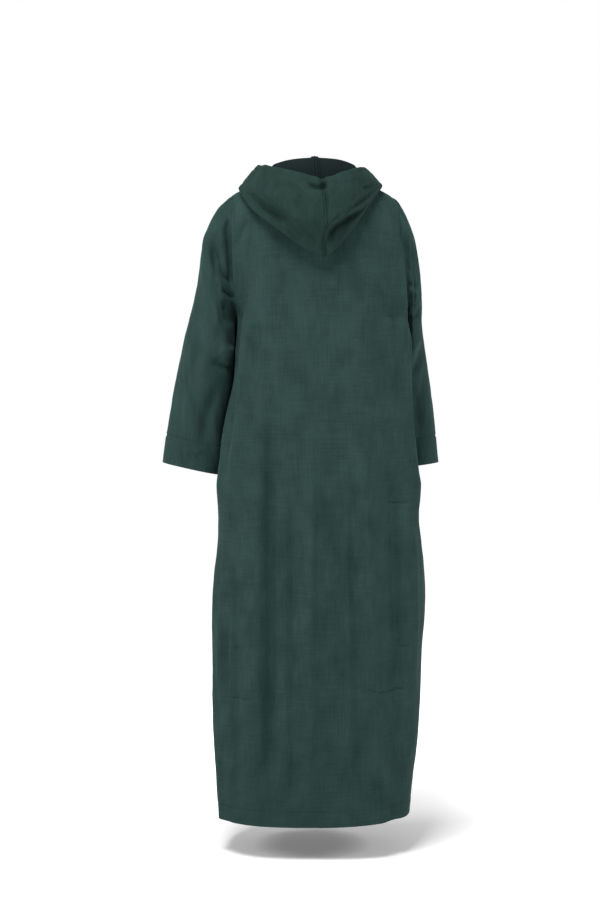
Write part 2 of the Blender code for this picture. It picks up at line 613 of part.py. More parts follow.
def rim_faces(points, a, b, shift):
    """Two triangles of a wall's edge, split the same way on both pieces of a seam."""
    if np.dot(points[a] - points[b], RIM_ORDER) > 0.0:
        return ((a, b, b + shift), (a, b + shift, a + shift))
    return ((a, b, a + shift), (b, b + shift, a + shift))


def cloth_piece(name, outer, inner, closed, flip, colour):
    """One closed cloth wall between two grids of points, as a named object."""
    rows, columns = outer.shape[:2]
    points = np.concatenate((outer.reshape(-1, 3), inner.reshape(-1, 3)))
    shift = rows * columns
    faces = []
    last = columns if closed else columns - 1
    for row in range(rows - 1):
        for column in range(last):
            a = row * columns + column
            b = row * columns + (column + 1) % columns
            quad = (a, b, b + columns, a + columns)
            faces.append(quad)
            faces.append(tuple(index + shift for index in reversed(quad)))
    rims = []
    top = (rows - 1) * columns
    for column in range(last):
        beside = (column + 1) % columns
        rims.append((beside, column))
        rims.append((top + column, top + beside))
    if not closed:
        for row in range(rows - 1):
            a = row * columns
            b = a + columns - 1
            rims.append((a, a + columns))
            rims.append((b + columns, b))
    for a, b in rims:
        faces.extend(rim_faces(points, a, b, shift))
    if flip < 0:
        faces = [face[::-1] for face in faces]
    mesh = bpy.data.meshes.new(name)
    mesh.from_pydata([tuple(point) for point in points], [], faces)
    mesh.shade_smooth()
    mesh.set_sharp_from_angle(angle=math.radians(SHARP_ANGLE))
    mesh.materials.append(cloth_material(name, colour))
    piece = bpy.data.objects.new(name, mesh)
    bpy.context.scene.collection.objects.link(piece)
    return piece


def cloth_material(name, colour):
    """Brushed cloth in one shade of the garment's green."""
    material = bpy.data.materials.new(f"{name}_cloth")
    material.use_nodes = True
    shader = material.node_tree.nodes["Principled BSDF"]
    shader.inputs["Base Color"].default_value = colour
    shader.inputs["Roughness"].default_value = CLOTH_ROUGHNESS
    shader.inputs["Metallic"].default_value = 0.0
    material.diffuse_color = colour
    return material


def panel_pieces(name, panel, flip):
    """A body panel's nodes: its skirt, and its bodice in a right and a left part."""
    skirt, bodice = divided(panel, SKIRT_ROWS - 1, 0)
    right, left = divided(bodice, HALF_COLUMNS, 1)
    cloth_piece(f"{name}_skirt", *skirt, False, flip, GREEN_FACE)
    cloth_piece(f"{name}_bodice_right", *right, False, flip, GREEN_FACE)
    cloth_piece(f"{name}_bodice_left", *left, False, flip, GREEN_FACE)


def sleeve_pieces(name, tube, cuts, flip):
    """A sleeve's nodes from the armhole down, divided at the given rows."""
    start = 0
    for part, row in cuts:
        piece, tube = divided(tube, row - start, 0)
        cloth_piece(f"{name}_{part}", *piece, True, flip, GREEN_FACE)
        start = row
    cloth_piece(f"{name}_lower", *tube, True, flip, GREEN_FACE)


def main():
    """Build the six cut pieces, the panels and sleeves divided so that collision follows them."""
    for item in list(bpy.data.objects):
        bpy.data.objects.remove(item, do_unlink=True)
    back = body_panel(1)
    front = body_panel(-1)
    panel_pieces("back", back, -1)
    panel_pieces("front", front, 1)
    left_tube = sleeve(back, front, LEFT_SLEEVE, LEFT_SLEEVE_FOLDS, True)
    sleeve_pieces("left_sleeve", left_tube, LEFT_SLEEVE_CUTS, -1)
    right_tube = sleeve(back, front, RIGHT_SLEEVE, RIGHT_SLEEVE_FOLDS, False)
    sleeve_pieces("right_sleeve", right_tube, RIGHT_SLEEVE_CUTS, 1)
    tree = panel_tree(((back[0], 1), (front[0], -1)))
    hood_left = hood_half(back, front, HOOD_LEFT, True, tree)
    cloth_piece("hood_left_half", *hood_left, False, -1, GREEN_HOOD)
    hood_right = hood_half(back, front, HOOD_RIGHT, False, tree)
    cloth_piece("hood_right_half", *hood_right, False, 1, GREEN_HOOD)


main()
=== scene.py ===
"""Hooded thobe in brushed dark green velvet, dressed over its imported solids.

Metres, +Z up. The front faces -Y and the left side is at +X, so the camera looks at the back along
-Y. Each cut piece is a thin shell on its solid's form, read from the same sections at a finer
spacing, with its creases, seams and hems pressed into it.
"""

import logging
import math
from dataclasses import astuple, dataclass, field
from enum import Enum

import bmesh
import bpy
import numpy as np
from bpy.types import Material, Node, NodeSocket, NodeTree, Object, World
from mathutils import Matrix, Vector, noise
from mathutils.bvhtree import BVHTree


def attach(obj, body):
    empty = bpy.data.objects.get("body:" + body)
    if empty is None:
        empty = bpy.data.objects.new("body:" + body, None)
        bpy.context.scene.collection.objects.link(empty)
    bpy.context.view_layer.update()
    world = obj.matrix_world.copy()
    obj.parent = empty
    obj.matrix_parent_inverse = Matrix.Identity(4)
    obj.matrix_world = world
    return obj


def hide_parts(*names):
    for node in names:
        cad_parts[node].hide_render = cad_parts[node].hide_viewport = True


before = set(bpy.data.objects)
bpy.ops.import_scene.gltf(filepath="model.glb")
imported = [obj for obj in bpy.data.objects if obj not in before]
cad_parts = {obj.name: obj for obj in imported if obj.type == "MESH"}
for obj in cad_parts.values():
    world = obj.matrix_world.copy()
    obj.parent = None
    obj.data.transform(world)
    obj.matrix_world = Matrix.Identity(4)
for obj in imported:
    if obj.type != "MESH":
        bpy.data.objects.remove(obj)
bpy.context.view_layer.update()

LOG = logging.getLogger("thobe")
Array = np.ndarray
Spot = tuple[float, float]
Point = tuple[float, float, float]

# The gap between sewn edges, and the least height of the hood over the panels
SEAM_GAP = 0.00004
LAY_GAP = 0.0045
# The wall of the plain cloth and of the cloth where it is turned in, and the width of each turned edge
CLOTH = 0.0014
HEM_CLOTH = 0.0027
HEM_TURN = 0.035
CUFF_TURN = 0.064
RIM_TURN = 0.014
# Rows of a grid beside a pressed mark and beside a cut edge, and the least distance between two rows
MARK_ROWS = np.array((-0.004, -0.0025, -0.0012, 0.0, 0.0012, 0.0025, 0.004))
EDGE_ROWS = np.array((0.001, 0.0025))
LEAST_SPACING = 0.0007
# Points of a tube that lie closer together than this are one
WELD = 0.000001
BODY = "root"


class Side(Enum):
    """The two panels of the body, by the way that they face along Y."""

    BACK = 1
    FRONT = -1


class Half(Enum):
    """The two sides of the garment, by the way that they lie along X."""

    LEFT = 1
    RIGHT = -1


@dataclass(frozen=True)
class Level:
    """A horizontal section of the body: half-widths, depths, armhole half-opening and turn."""

    z: float
    left: float
    right: float
    back: float
    front: float
    opening: float
    turn: float


@dataclass(frozen=True)
class Fold:
    """A long fold of a panel, by its distance along the cloth from the centre line."""

    top: float
    bottom: float
    across_top: float
    across_bottom: float
    half_width: float
    depth: float


@dataclass(frozen=True)
class Ring:
    """A ring of a sleeve: its outer and inner points, how far back its middle lies, half its depth."""

    outer_x: float
    outer_z: float
    inner_x: float
    inner_z: float
    middle_y: float
    half_depth: float


@dataclass(frozen=True)
class SleeveFold:
    """A long fold of a sleeve, by its share along the sleeve and its turn round it in degrees."""

    along_start: float
    along_end: float
    turn_start: float
    turn_end: float
    half_width: float
    depth: float


@dataclass(frozen=True)
class Profile:
    """A section of the hood: roll over the neckline, bottom fold, free rim, puff and crease."""

    along: float
    roll_x: float
    roll_y: float
    roll_z: float
    fold_x: float
    fold_y: float
    fold_z: float
    rim_x: float
    rim_y: float
    rim_z: float
    puff: float
    crease: float
    step: float


def smooth_read(places: Array, values: Array, wanted: Array) -> Array:
    """Read a table's values at the wanted places, on a smooth curve through its rows.

    Args:
        places: Rising place of each row.
        values: One row of values for each place.
        wanted: Places to read at.

    Returns:
        One row of values for each wanted place.
    """
    slopes = np.gradient(values, places, axis=0)
    index = np.clip(np.searchsorted(places, wanted) - 1, 0, len(places) - 2)
    span = (places[index + 1] - places[index])[:, None]
    share = np.clip((wanted - places[index])[:, None] / span, 0.0, 1.0)
    square = share * share
    cube = square * share
    return (
        (2.0 * cube - 3.0 * square + 1.0) * values[index]
        + (cube - 2.0 * square + share) * span * slopes[index]
        + (3.0 * square - 2.0 * cube) * values[index + 1]
        + (cube - square) * span * slopes[index + 1]
    )


def table(rows: tuple[object, ...]) -> Array:
    """A table of named rows as an array, one line for each row."""
    return np.array([astuple(row) for row in rows])


def fade(distance: Array, reach: float) -> Array:
    """0 at a distance of 0, rising smoothly to 1 at the reach."""
    share = np.clip(distance / reach, 0.0, 1.0)
    return share * share * (3.0 - 2.0 * share)


def bump(distance: Array, half_width: float) -> Array:
    """1 at a distance of 0, falling off softly over the half-width."""
    return np.exp(-((distance / half_width) ** 2))


def unit(vectors: Array) -> Array:
    """Vectors of an array brought to length 1."""
    lengths = np.linalg.norm(vectors, axis=-1, keepdims=True)
    return vectors / np.maximum(lengths, 1e-12)


def run(points: Array, axis: int) -> Array:
    """Distance along the cloth from its first points.

    Args:
        points: A line or a grid of points.
        axis: 0 to go along its rows' order, 1 to go across it.

    Returns:
        The distance at each point.
    """
    steps = np.linalg.norm(np.diff(points, axis=axis), axis=-1)
    pad = [(0, 0)] * steps.ndim
    pad[axis] = (1, 0)
    return np.pad(np.cumsum(steps, axis=axis), pad)


def with_marks(plain: Array, marks: tuple[float, ...], edge: Array) -> Array:
    """Add rows beside pressed marks and a cut edge to evenly spaced rows.

    Args:
        plain: Places of the evenly spaced rows.
        marks: Places of the marks.
        edge: Places of the rows beside the edge.

    Returns:
        Rising places, without the plain rows that lie too close to an added one.
    """
    fine = np.concatenate((edge, *(mark + MARK_ROWS for mark in marks)))
    keep = np.abs(plain[:, None] - fine).min(axis=1) > LEAST_SPACING
    return np.sort(np.concatenate((plain[keep], fine)))


def grid_normals(points: Array, closed: bool, flip: float) -> Array:
    """Unit normals of a grid of points.

    Args:
        points: Rows of points.
        closed: Whether each row closes on itself.
        flip: -1 where the columns run against the grid's outer face.

    Returns:
        A unit vector for each point.
    """
    if closed:
        across = np.roll(points, -1, axis=1) - np.roll(points, 1, axis=1)
    else:
        across = np.gradient(points, axis=1)
    up = np.gradient(points, axis=0)
    return unit(np.cross(across, up)) * flip


def seam_start(edge: Array, normals: Array, centre: Array) -> tuple[Array, Array]:
    """First row of a piece that is sewn along an edge, a seam's gap beyond it.

    Args:
        edge: Points of the edge.
        normals: The cloth's normals along it.
        centre: A point of the hole that the edge goes round.

    Returns:
        The first row, and the direction in which the cloth runs on at each point.
    """
    away = unit(np.cross(np.gradient(edge, axis=0), normals))
    signs = np.where(np.sum(away * (centre - edge), axis=1) < 0.0, -1.0, 1.0)
    away = away * signs[:, None]
    return edge + away * SEAM_GAP, away


@dataclass(frozen=True)
class Crease:
    """A soft trough or ridge, drawn over the cloth as it is seen from the back or the front.

    The path gives places across and up in metres. A depth above 0 is a ridge. A lean above 0 makes
    the side on the left of the path's direction softer and the other side crisper. The ease is the
    share of the path over which each end fades out.
    """

    path: tuple[Spot, ...]
    half_width: float
    depth: float
    lean: float = 0.0
    ease: float = 0.35
    samples: int = 25

    def push(self, places: Array) -> Array:
        """How far the crease moves the cloth out at each place.

        Args:
            places: Places across and up, one row each.

        Returns:
            A distance for each place.
        """
        knots = np.array(self.path)
        lengths = run(knots, 0)
        line = smooth_read(lengths, knots, np.linspace(0.0, lengths[-1], self.samples))
        starts = line[:-1]
        steps = line[1:] - starts
        best = np.full(len(places), np.inf)
        along = np.zeros(len(places))
        side = np.zeros(len(places))
        for index, (start, step) in enumerate(zip(starts, steps)):
            offset = places - start
            share = np.clip(offset @ step / (step @ step), 0.0, 1.0)
            near = offset - share[:, None] * step
            distance = np.hypot(near[:, 0], near[:, 1])
            closer = distance < best
            best = np.where(closer, distance, best)
            along = np.where(closer, (index + share) / len(starts), along)
            turn = step[0] * offset[:, 1] - step[1] * offset[:, 0]
            side = np.where(closer, np.sign(turn), side)
        width = self.half_width * (1.0 + self.lean * side)
        ends = fade(along, self.ease) * fade(1.0 - along, self.ease)
        return self.depth * bump(best, width) * ends


def crease_table(*rows: tuple[tuple[float, ...] | float, ...]) -> tuple[Crease, ...]:
    """Make creases from rows of millimetres.

    Args:
        rows: For each crease its path, as one run of places across and up, then its half-width and
            depth, and where they aren't the usual ones its lean and ease.

    Returns:
        The creases, in metres.
    """
    made = []
    for places, half_width, depth, *rest in rows:
        path = tuple((across / 1000.0, up / 1000.0) for across, up in zip(places[::2], places[1::2]))
        made.append(Crease(path, half_width / 1000.0, depth / 1000.0, *rest))
    return tuple(made)


@dataclass(frozen=True)
class Relief:
    """Fine uneven relief: its greatest height, the size of its forms, and a shift of the seed."""

    height: float
    across: float
    up: float
    shift: float = 0.0


@dataclass(frozen=True)
class Ripple:
    """Uneven ripples along a seam, which a slower wave draws out and pushes together."""

    length: float
    stretch: float
    drift: float

    def at(self, distance: Array) -> Array:
        """Height of the ripples from -1 to 1, by the distance along the seam."""
        return np.sin(distance / self.length + self.stretch * np.sin(distance / self.drift))


@dataclass(frozen=True)
class StitchGroove:
    """The groove that a stitch line pulls into the cloth, and the ripples of the turned edge beside it."""

    depth: float
    swing: float
    half_width: float
    ripple: float = 0.0004
    ripple_place: float = 0.009
    ripple_width: float = 0.010

    def offset(self, distance: Array, wave: Array) -> Array:
        """How far the cloth moves out.

        Args:
            distance: Distance of each point from the stitch line, above 0 in the turned edge.
            wave: Height of the ripples at each point.

        Returns:
            An offset for each point.
        """
        groove = -(self.depth + self.swing * wave) * bump(distance, self.half_width)
        return groove + self.ripple * wave * bump(distance - self.ripple_place, self.ripple_width)


@dataclass
class Cloth:
    """A piece of cloth as a grid of points.

    The flip is -1 where the columns run against the outer face. Points are moved along the heading
    where it is set, else along the normals. Creases fade out over the turn_fade where the cloth turns
    away from the side that they are drawn on.
    """

    name: str
    points: Array
    flip: float
    closed: bool = False
    heading: Array | None = None
    turn_fade: float = 0.35

    def normals(self) -> Array:
        """Outward unit normals of the grid as it is now."""
        return grid_normals(self.points, self.closed, self.flip)

    def steady(self, rounds: int) -> None:
        """Fix the directions that the cloth is moved in, so that close creases can't turn it over.

        Args:
            rounds: How often each direction is averaged with the ones beside it.
        """
        heading = self.normals()
        for _ in range(rounds):
            beside = np.roll(heading, 1, axis=1) + np.roll(heading, -1, axis=1)
            rows = np.concatenate((heading[:1], heading, heading[-1:]))
            heading = unit(heading + 0.5 * (beside + rows[:-2] + rows[2:]))
        self.heading = heading

    def move(self, offset: Array) -> None:
        """Move each point out along its direction by the offset."""
        heading = self.normals() if self.heading is None else self.heading
        self.points = self.points + heading * offset[:, :, None]

    def press(self, creases: tuple[Crease, ...], facing: Side, calm: Array) -> None:
        """Press creases into the side of the cloth that faces the back or the front.

        Args:
            creases: The creases, in the plane seen from that side.
            facing: The side that they lie on.
            calm: Share of each crease that each point takes.
        """
        places = self.points[:, :, (0, 2)].reshape(-1, 2)
        offset = sum(crease.push(places) for crease in creases)
        turned = self.normals()[:, :, 1] * facing.value
        self.move(offset.reshape(turned.shape) * fade(turned, self.turn_fade) * calm)

    def rumple(self, reliefs: tuple[Relief, ...], seed: float, calm: Array) -> None:
        """Give the cloth fine uneven reliefs, one after the other.

        Args:
            reliefs: The reliefs.
            seed: Which part of the noise is read.
            calm: Share of the relief that each point takes.
        """
        for relief in reliefs:
            places = self.lay_out() / np.array((relief.across, relief.up))
            depth = seed + relief.shift
            heights = [noise.noise(Vector((u, v, depth))) for u, v in places.reshape(-1, 2)]
            self.move(np.array(heights).reshape(places.shape[:2]) * relief.height * calm)

    def lay_out(self) -> Array:
        """Lay the cloth out flat.

        Returns:
            Places in metres, across from the middle column and up from the first row.
        """
        across = run(self.points, 1)
        middle = 0 if self.closed else across.shape[1] // 2
        across = across - across[:, middle : middle + 1]
        return np.stack((across, run(self.points, 0)), axis=2)


def make_shell(cloth: Cloth, hem: Array, materials: tuple[Material, ...]) -> Object:
    """Make a cloth's mesh, with its map, and give it a wall that is thicker where it is turned in.

    Args:
        cloth: The cloth.
        hem: 1 for each point that lies in a turned hem, else 0.
        materials: Its face and its reverse.

    Returns:
        The new object.
    """
    points = cloth.points
    layout = cloth.lay_out()
    if cloth.closed:
        closing = np.linalg.norm(points[:, 0] - points[:, -1], axis=1)
        last = layout[:, -1:].copy()
        last[:, 0, 0] += closing
        points = np.concatenate((points, points[:, :1]), axis=1)
        layout = np.concatenate((layout, last), axis=1)
        hem = np.concatenate((hem, hem[:, :1]), axis=1)
    rows, columns = points.shape[:2]
    sheet = bmesh.new()
    bmesh.ops.create_grid(sheet, x_segments=columns - 1, y_segments=rows - 1, size=1.0)
    sheet.verts.ensure_lookup_table()
    turned = sheet.verts.layers.deform.verify()
    for vertex, point, weight in zip(sheet.verts, points.reshape(-1, 3), hem.reshape(-1)):
        vertex.co = point
        vertex[turned][0] = float(weight)
    flat = layout.reshape(-1, 2)
    cloth_map = sheet.loops.layers.uv.new("cloth")
    for face in sheet.faces:
        face.smooth = True
        for loop in face.loops:
            loop[cloth_map].uv = flat[loop.vert.index]
    if cloth.flip < 0.0:
        bmesh.ops.reverse_faces(sheet, faces=sheet.faces)
    if cloth.closed:
        bmesh.ops.remove_doubles(sheet, verts=sheet.verts, dist=WELD)
    mesh = bpy.data.meshes.new(cloth.name)
    sheet.to_mesh(mesh)
    sheet.free()
    for material in materials:
        mesh.materials.append(material)
    piece = bpy.data.objects.new(cloth.name, mesh)
    bpy.context.scene.collection.objects.link(piece)
    piece.vertex_groups.new(name="hem")
    wall = piece.modifiers.new("wall", "SOLIDIFY")
    wall.thickness = HEM_CLOTH
    wall.offset = -1.0
    wall.use_quality_normals = True
    wall.vertex_group = "hem"
    wall.thickness_vertex_group = CLOTH / HEM_CLOTH
    wall.material_offset = 1
    wall.material_offset_rim = 0
    return piece


@dataclass
class BodyForm:
    """The form that the two body panels share: its levels, shoulders and neckline.

    The marks are heights of pressed creases, which get rows closer together. A squareness of 2
    makes a section an ellipse.
    """

    levels: tuple[Level, ...]
    shoulder_left: Point = (0.190, 0.0, -0.013)
    shoulder_right: Point = (-0.170, 0.0, -0.018)
    neck_x: float = 0.008
    neck_half_width: float = 0.080
    neck_z: float = 0.036
    back_neck_depth: float = 0.056
    back_neck_z: float = 0.020
    back_neck_tilt: float = 50.0
    v_depth: float = 0.100
    v_z: float = -0.098
    v_tilt: float = 38.0
    v_roundness: float = 0.8
    hem_z: float = -1.440
    hem_lift: float = 0.010
    hem_lift_reach: float = 0.300
    marks: tuple[float, ...] = (-1.154, -1.134, -1.041, -0.714)
    underarm_z: float = -0.310
    yoke_z: float = -0.120
    front_yoke_drop: float = 0.050
    squareness_back: float = 2.7
    squareness_front: float = 2.2
    half_columns: int = 60
    neck_columns: int = 25
    skirt_rows: int = 210
    arm_rows: int = 42
    yoke_rows: int = 35
    samples: int = 361

    def heights(self) -> Array:
        """Find the rows' heights, closer together at the hem, its stitch line and the marks.

        Returns:
            Rising heights from the hem to the yoke.
        """
        skirt = np.linspace(self.hem_z, self.underarm_z, self.skirt_rows)
        skirt = with_marks(skirt, (self.hem_z + HEM_TURN, *self.marks), self.hem_z + EDGE_ROWS)
        arms = np.linspace(self.underarm_z, self.yoke_z, self.arm_rows + 1)[1:]
        return np.concatenate((skirt, arms))

    def underarm_row(self) -> int:
        """The row that lies at the underarm."""
        return int(np.argmin(np.abs(self.heights() - self.underarm_z)))

    def stitch_row(self) -> int:
        """The row that lies on the hem's stitch line."""
        return int(np.argmin(np.abs(self.heights() - self.hem_z - HEM_TURN)))

    def half_section(self, width: float, depth: float, level: Level, squareness: float) -> Array:
        """Half of a panel's section.

        Args:
            width: Half-width of the section.
            depth: Its depth on the centre line.
            level: The level, for its opening and turn.
            squareness: Exponent of the section, 2 being an ellipse.

        Returns:
            Distance across, distance out and distance along the cloth, one row for each column.
        """
        power = 2.0 / squareness
        turn = math.radians(level.turn)
        angles = np.linspace(0.0, turn, self.samples)
        end = max(math.cos(turn), 0.0) ** power
        across = width * (np.sin(angles) / math.sin(turn)) ** power
        rise = (np.maximum(np.cos(angles), 0.0) ** power - end) / (1.0 - end)
        out = level.opening + (depth - level.opening) * rise
        lengths = run(np.column_stack((across, out)), 0)
        even = np.linspace(0.0, lengths[-1], self.half_columns + 1)
        return np.column_stack((np.interp(even, lengths, across), np.interp(even, lengths, out), even))

    def row(self, level: Level, side: Side) -> tuple[Array, Array]:
        """Find one row of a panel.

        Args:
            level: The row's section.
            side: Which panel it is.

        Returns:
            Its points from right to left, and their distance along the cloth from the centre line.
        """
        depth = level.back if side is Side.BACK else level.front
        squareness = self.squareness_back if side is Side.BACK else self.squareness_front
        left = self.half_section(level.left, depth, level, squareness)
        right = self.half_section(level.right, depth, level, squareness)
        x = np.concatenate((-right[:0:-1, 0], left[:, 0]))
        y = np.concatenate((right[:0:-1, 1], left[:, 1])) * side.value
        along = np.concatenate((-right[:0:-1, 2], left[:, 2]))
        return np.column_stack((x, y, np.full(len(x), level.z))), along

    def top_edge(self, side: Side) -> tuple[Array, Array]:
        """Find the shoulder seams and the neckline of a panel.

        Args:
            side: Which panel it is.

        Returns:
            Its points from right to left, and the angle that the yoke turns through in each column.
        """
        points = []
        tilts = []
        for column in range(-self.half_columns, self.half_columns + 1):
            sign = 1.0 if column >= 0 else -1.0
            neck = Vector((self.neck_x + sign * self.neck_half_width, 0.0, self.neck_z))
            if abs(column) > self.neck_columns:
                shoulder = Vector(self.shoulder_left if column > 0 else self.shoulder_right)
                share = (abs(column) - self.neck_columns) / (self.half_columns - self.neck_columns)
                points.append(neck.lerp(shoulder, share))
                tilts.append(90.0)
                continue
            share = abs(column) / self.neck_columns
            angle = 0.5 * math.pi * share
            if side is Side.BACK:
                across = math.sin(angle)
                out = self.back_neck_depth * math.cos(angle)
                height = self.neck_z + (self.back_neck_z - self.neck_z) * math.cos(angle)
                tilt = 90.0 + (self.back_neck_tilt - 90.0) * math.cos(angle)
            else:
                across = share
                out = -self.v_depth * max(math.cos(angle), 0.0) ** self.v_roundness
                height = self.neck_z + (self.v_z - self.neck_z) * (1.0 - share)
                tilt = 90.0 + (self.v_tilt - 90.0) * math.cos(angle)
            points.append(Vector((self.neck_x + sign * across * self.neck_half_width, out, height)))
            tilts.append(tilt)
        return np.array(points), np.radians(tilts)


@dataclass
class BodyPanel:
    """The back or the front: one panel from the hem to the shoulder seams and the neckline."""

    form: BodyForm
    side: Side
    folds: tuple[Fold, ...]
    creases: tuple[Crease, ...]
    name: str
    nodes: tuple[str, ...]
    flat: Spot
    area: float
    fold_fade: float = 0.110
    fold_calm: float = 0.030
    side_calm: float = 0.010
    shoulder_calm: float = 0.020
    reliefs: tuple[Relief, ...] = (Relief(0.0022, 0.060, 0.140), Relief(0.0007, 0.016, 0.030, 7.0))
    seam_dip: float = 0.0013
    seam_reach: float = 0.0045
    pucker_dip: float = 0.0004
    pucker_reach: float = 0.004
    pucker: Ripple = Ripple(0.0035, 3.0, 0.019)
    hem_ripple: Ripple = Ripple(0.0052, 2.0, 0.031)
    hem_groove: StitchGroove = StitchGroove(0.0007, 0.0002, 0.0022)
    seed: float = 1.0

    def fold_offset(self, z: float, along: Array) -> Array:
        """Find how far the long folds push a row out of the cloth.

        Args:
            z: Height of the row.
            along: Distance of its points along the cloth from the centre line.

        Returns:
            An offset for each point.
        """
        offset = np.zeros_like(along)
        for fold in self.folds:
            share = np.clip((fold.top - z) / (fold.top - fold.bottom), 0.0, 1.0)
            centre = fold.across_top + (fold.across_bottom - fold.across_top) * share
            ends = fade(fold.top - z, self.fold_fade)
            if fold.bottom > self.form.hem_z:
                ends = ends * fade(z - fold.bottom, self.fold_fade)
            offset += fold.depth * bump(along - centre, fold.half_width) * ends
        return offset * fade(along - along[0], self.fold_calm) * fade(along[-1] - along, self.fold_calm)

    def drape(self) -> Cloth:
        """Lay the panel over its form, with its folds and creases.

        Returns:
            The cloth, hem first.
        """
        form = self.form
        heights = form.heights()
        rows = []
        offsets = []
        shares = np.arange(-form.half_columns, form.half_columns + 1) / form.half_columns
        drop = 0.0 if self.side is Side.BACK else form.front_yoke_drop
        sections = table(form.levels)
        for level in (Level(*values) for values in smooth_read(sections[:, 0], sections, heights)):
            row, along = form.row(level, self.side)
            rise = fade(level.z - form.underarm_z, form.yoke_z - form.underarm_z)
            row[:, 2] -= drop * rise * (1.0 - fade(np.abs(shares), 1.0))
            lift = form.hem_lift * fade(form.hem_z + form.hem_lift_reach - level.z, form.hem_lift_reach)
            row[:, 2] += lift * fade(-shares, 1.0)
            rows.append(row)
            offsets.append(self.fold_offset(level.z, along))
        base = rows[-1]
        last = offsets[-1]
        top, tilts = form.top_edge(self.side)
        for step in range(1, form.yoke_rows + 1):
            angles = tilts * step / form.yoke_rows
            near = ((np.cos(angles) - np.cos(tilts)) / (1.0 - np.cos(tilts)))[:, None]
            rise = (np.sin(angles) / np.sin(tilts))[:, None]
            row = top + (base - top) * near
            row[:, 2] = (base + (top - base) * rise)[:, 2]
            rows.append(row)
            offsets.append(last * (1.0 - fade(step, form.yoke_rows)))
        cloth = Cloth(self.name + "_cloth", np.array(rows), -float(self.side.value))
        cloth.move(np.array(offsets))
        self.close_seams(cloth)
        calm = self.calm(cloth)
        cloth.press(self.creases, self.side, calm)
        cloth.rumple(self.reliefs, self.seed, calm)
        self.sink_seams(cloth)
        return cloth

    def close_seams(self, cloth: Cloth) -> None:
        """Bring the side and shoulder edges to half a seam's gap from the seam plane.

        Args:
            cloth: The panel's cloth.
        """
        form = self.form
        plane = self.side.value * 0.5 * SEAM_GAP
        for edge in (0, -1):
            cloth.points[: form.underarm_row() + 1, edge, 1] = plane
        shoulders = np.abs(np.arange(-form.half_columns, form.half_columns + 1)) >= form.neck_columns
        cloth.points[-1, shoulders, 1] = plane

    def calm(self, cloth: Cloth) -> Array:
        """Find the share of the creases that each point takes.

        Args:
            cloth: The panel's cloth.

        Returns:
            A share for each point, falling to 0 at the seams but not at the hem.
        """
        across = run(cloth.points, 1)
        down = run(cloth.points[::-1], 0)[::-1]
        near = np.minimum(across, across[:, -1:] - across)
        return fade(near, self.side_calm) * fade(down, self.shoulder_calm)

    def sink_seams(self, cloth: Cloth) -> None:
        """Sink the cloth a little along its side seams and into the hem's stitch line.

        Args:
            cloth: The panel's cloth.
        """
        across = run(cloth.points, 1)
        near = np.minimum(across, across[:, -1:] - across)
        up = run(cloth.points, 0)
        pucker = 0.5 + 0.5 * self.pucker.at(up)
        offset = -self.seam_dip * bump(near, self.seam_reach)
        offset -= self.pucker_dip * pucker * bump(near - self.pucker_reach, self.pucker_reach)
        below = up[self.form.stitch_row()] - up
        cloth.move(offset + self.hem_groove.offset(below, self.hem_ripple.at(across)))
        self.close_seams(cloth)

    def hem(self, cloth: Cloth) -> Array:
        """1 at the points of the turned hem, else 0."""
        turned = (np.arange(len(cloth.points)) <= self.form.stitch_row()).astype(float)
        return np.repeat(turned[:, None], cloth.points.shape[1], axis=1)


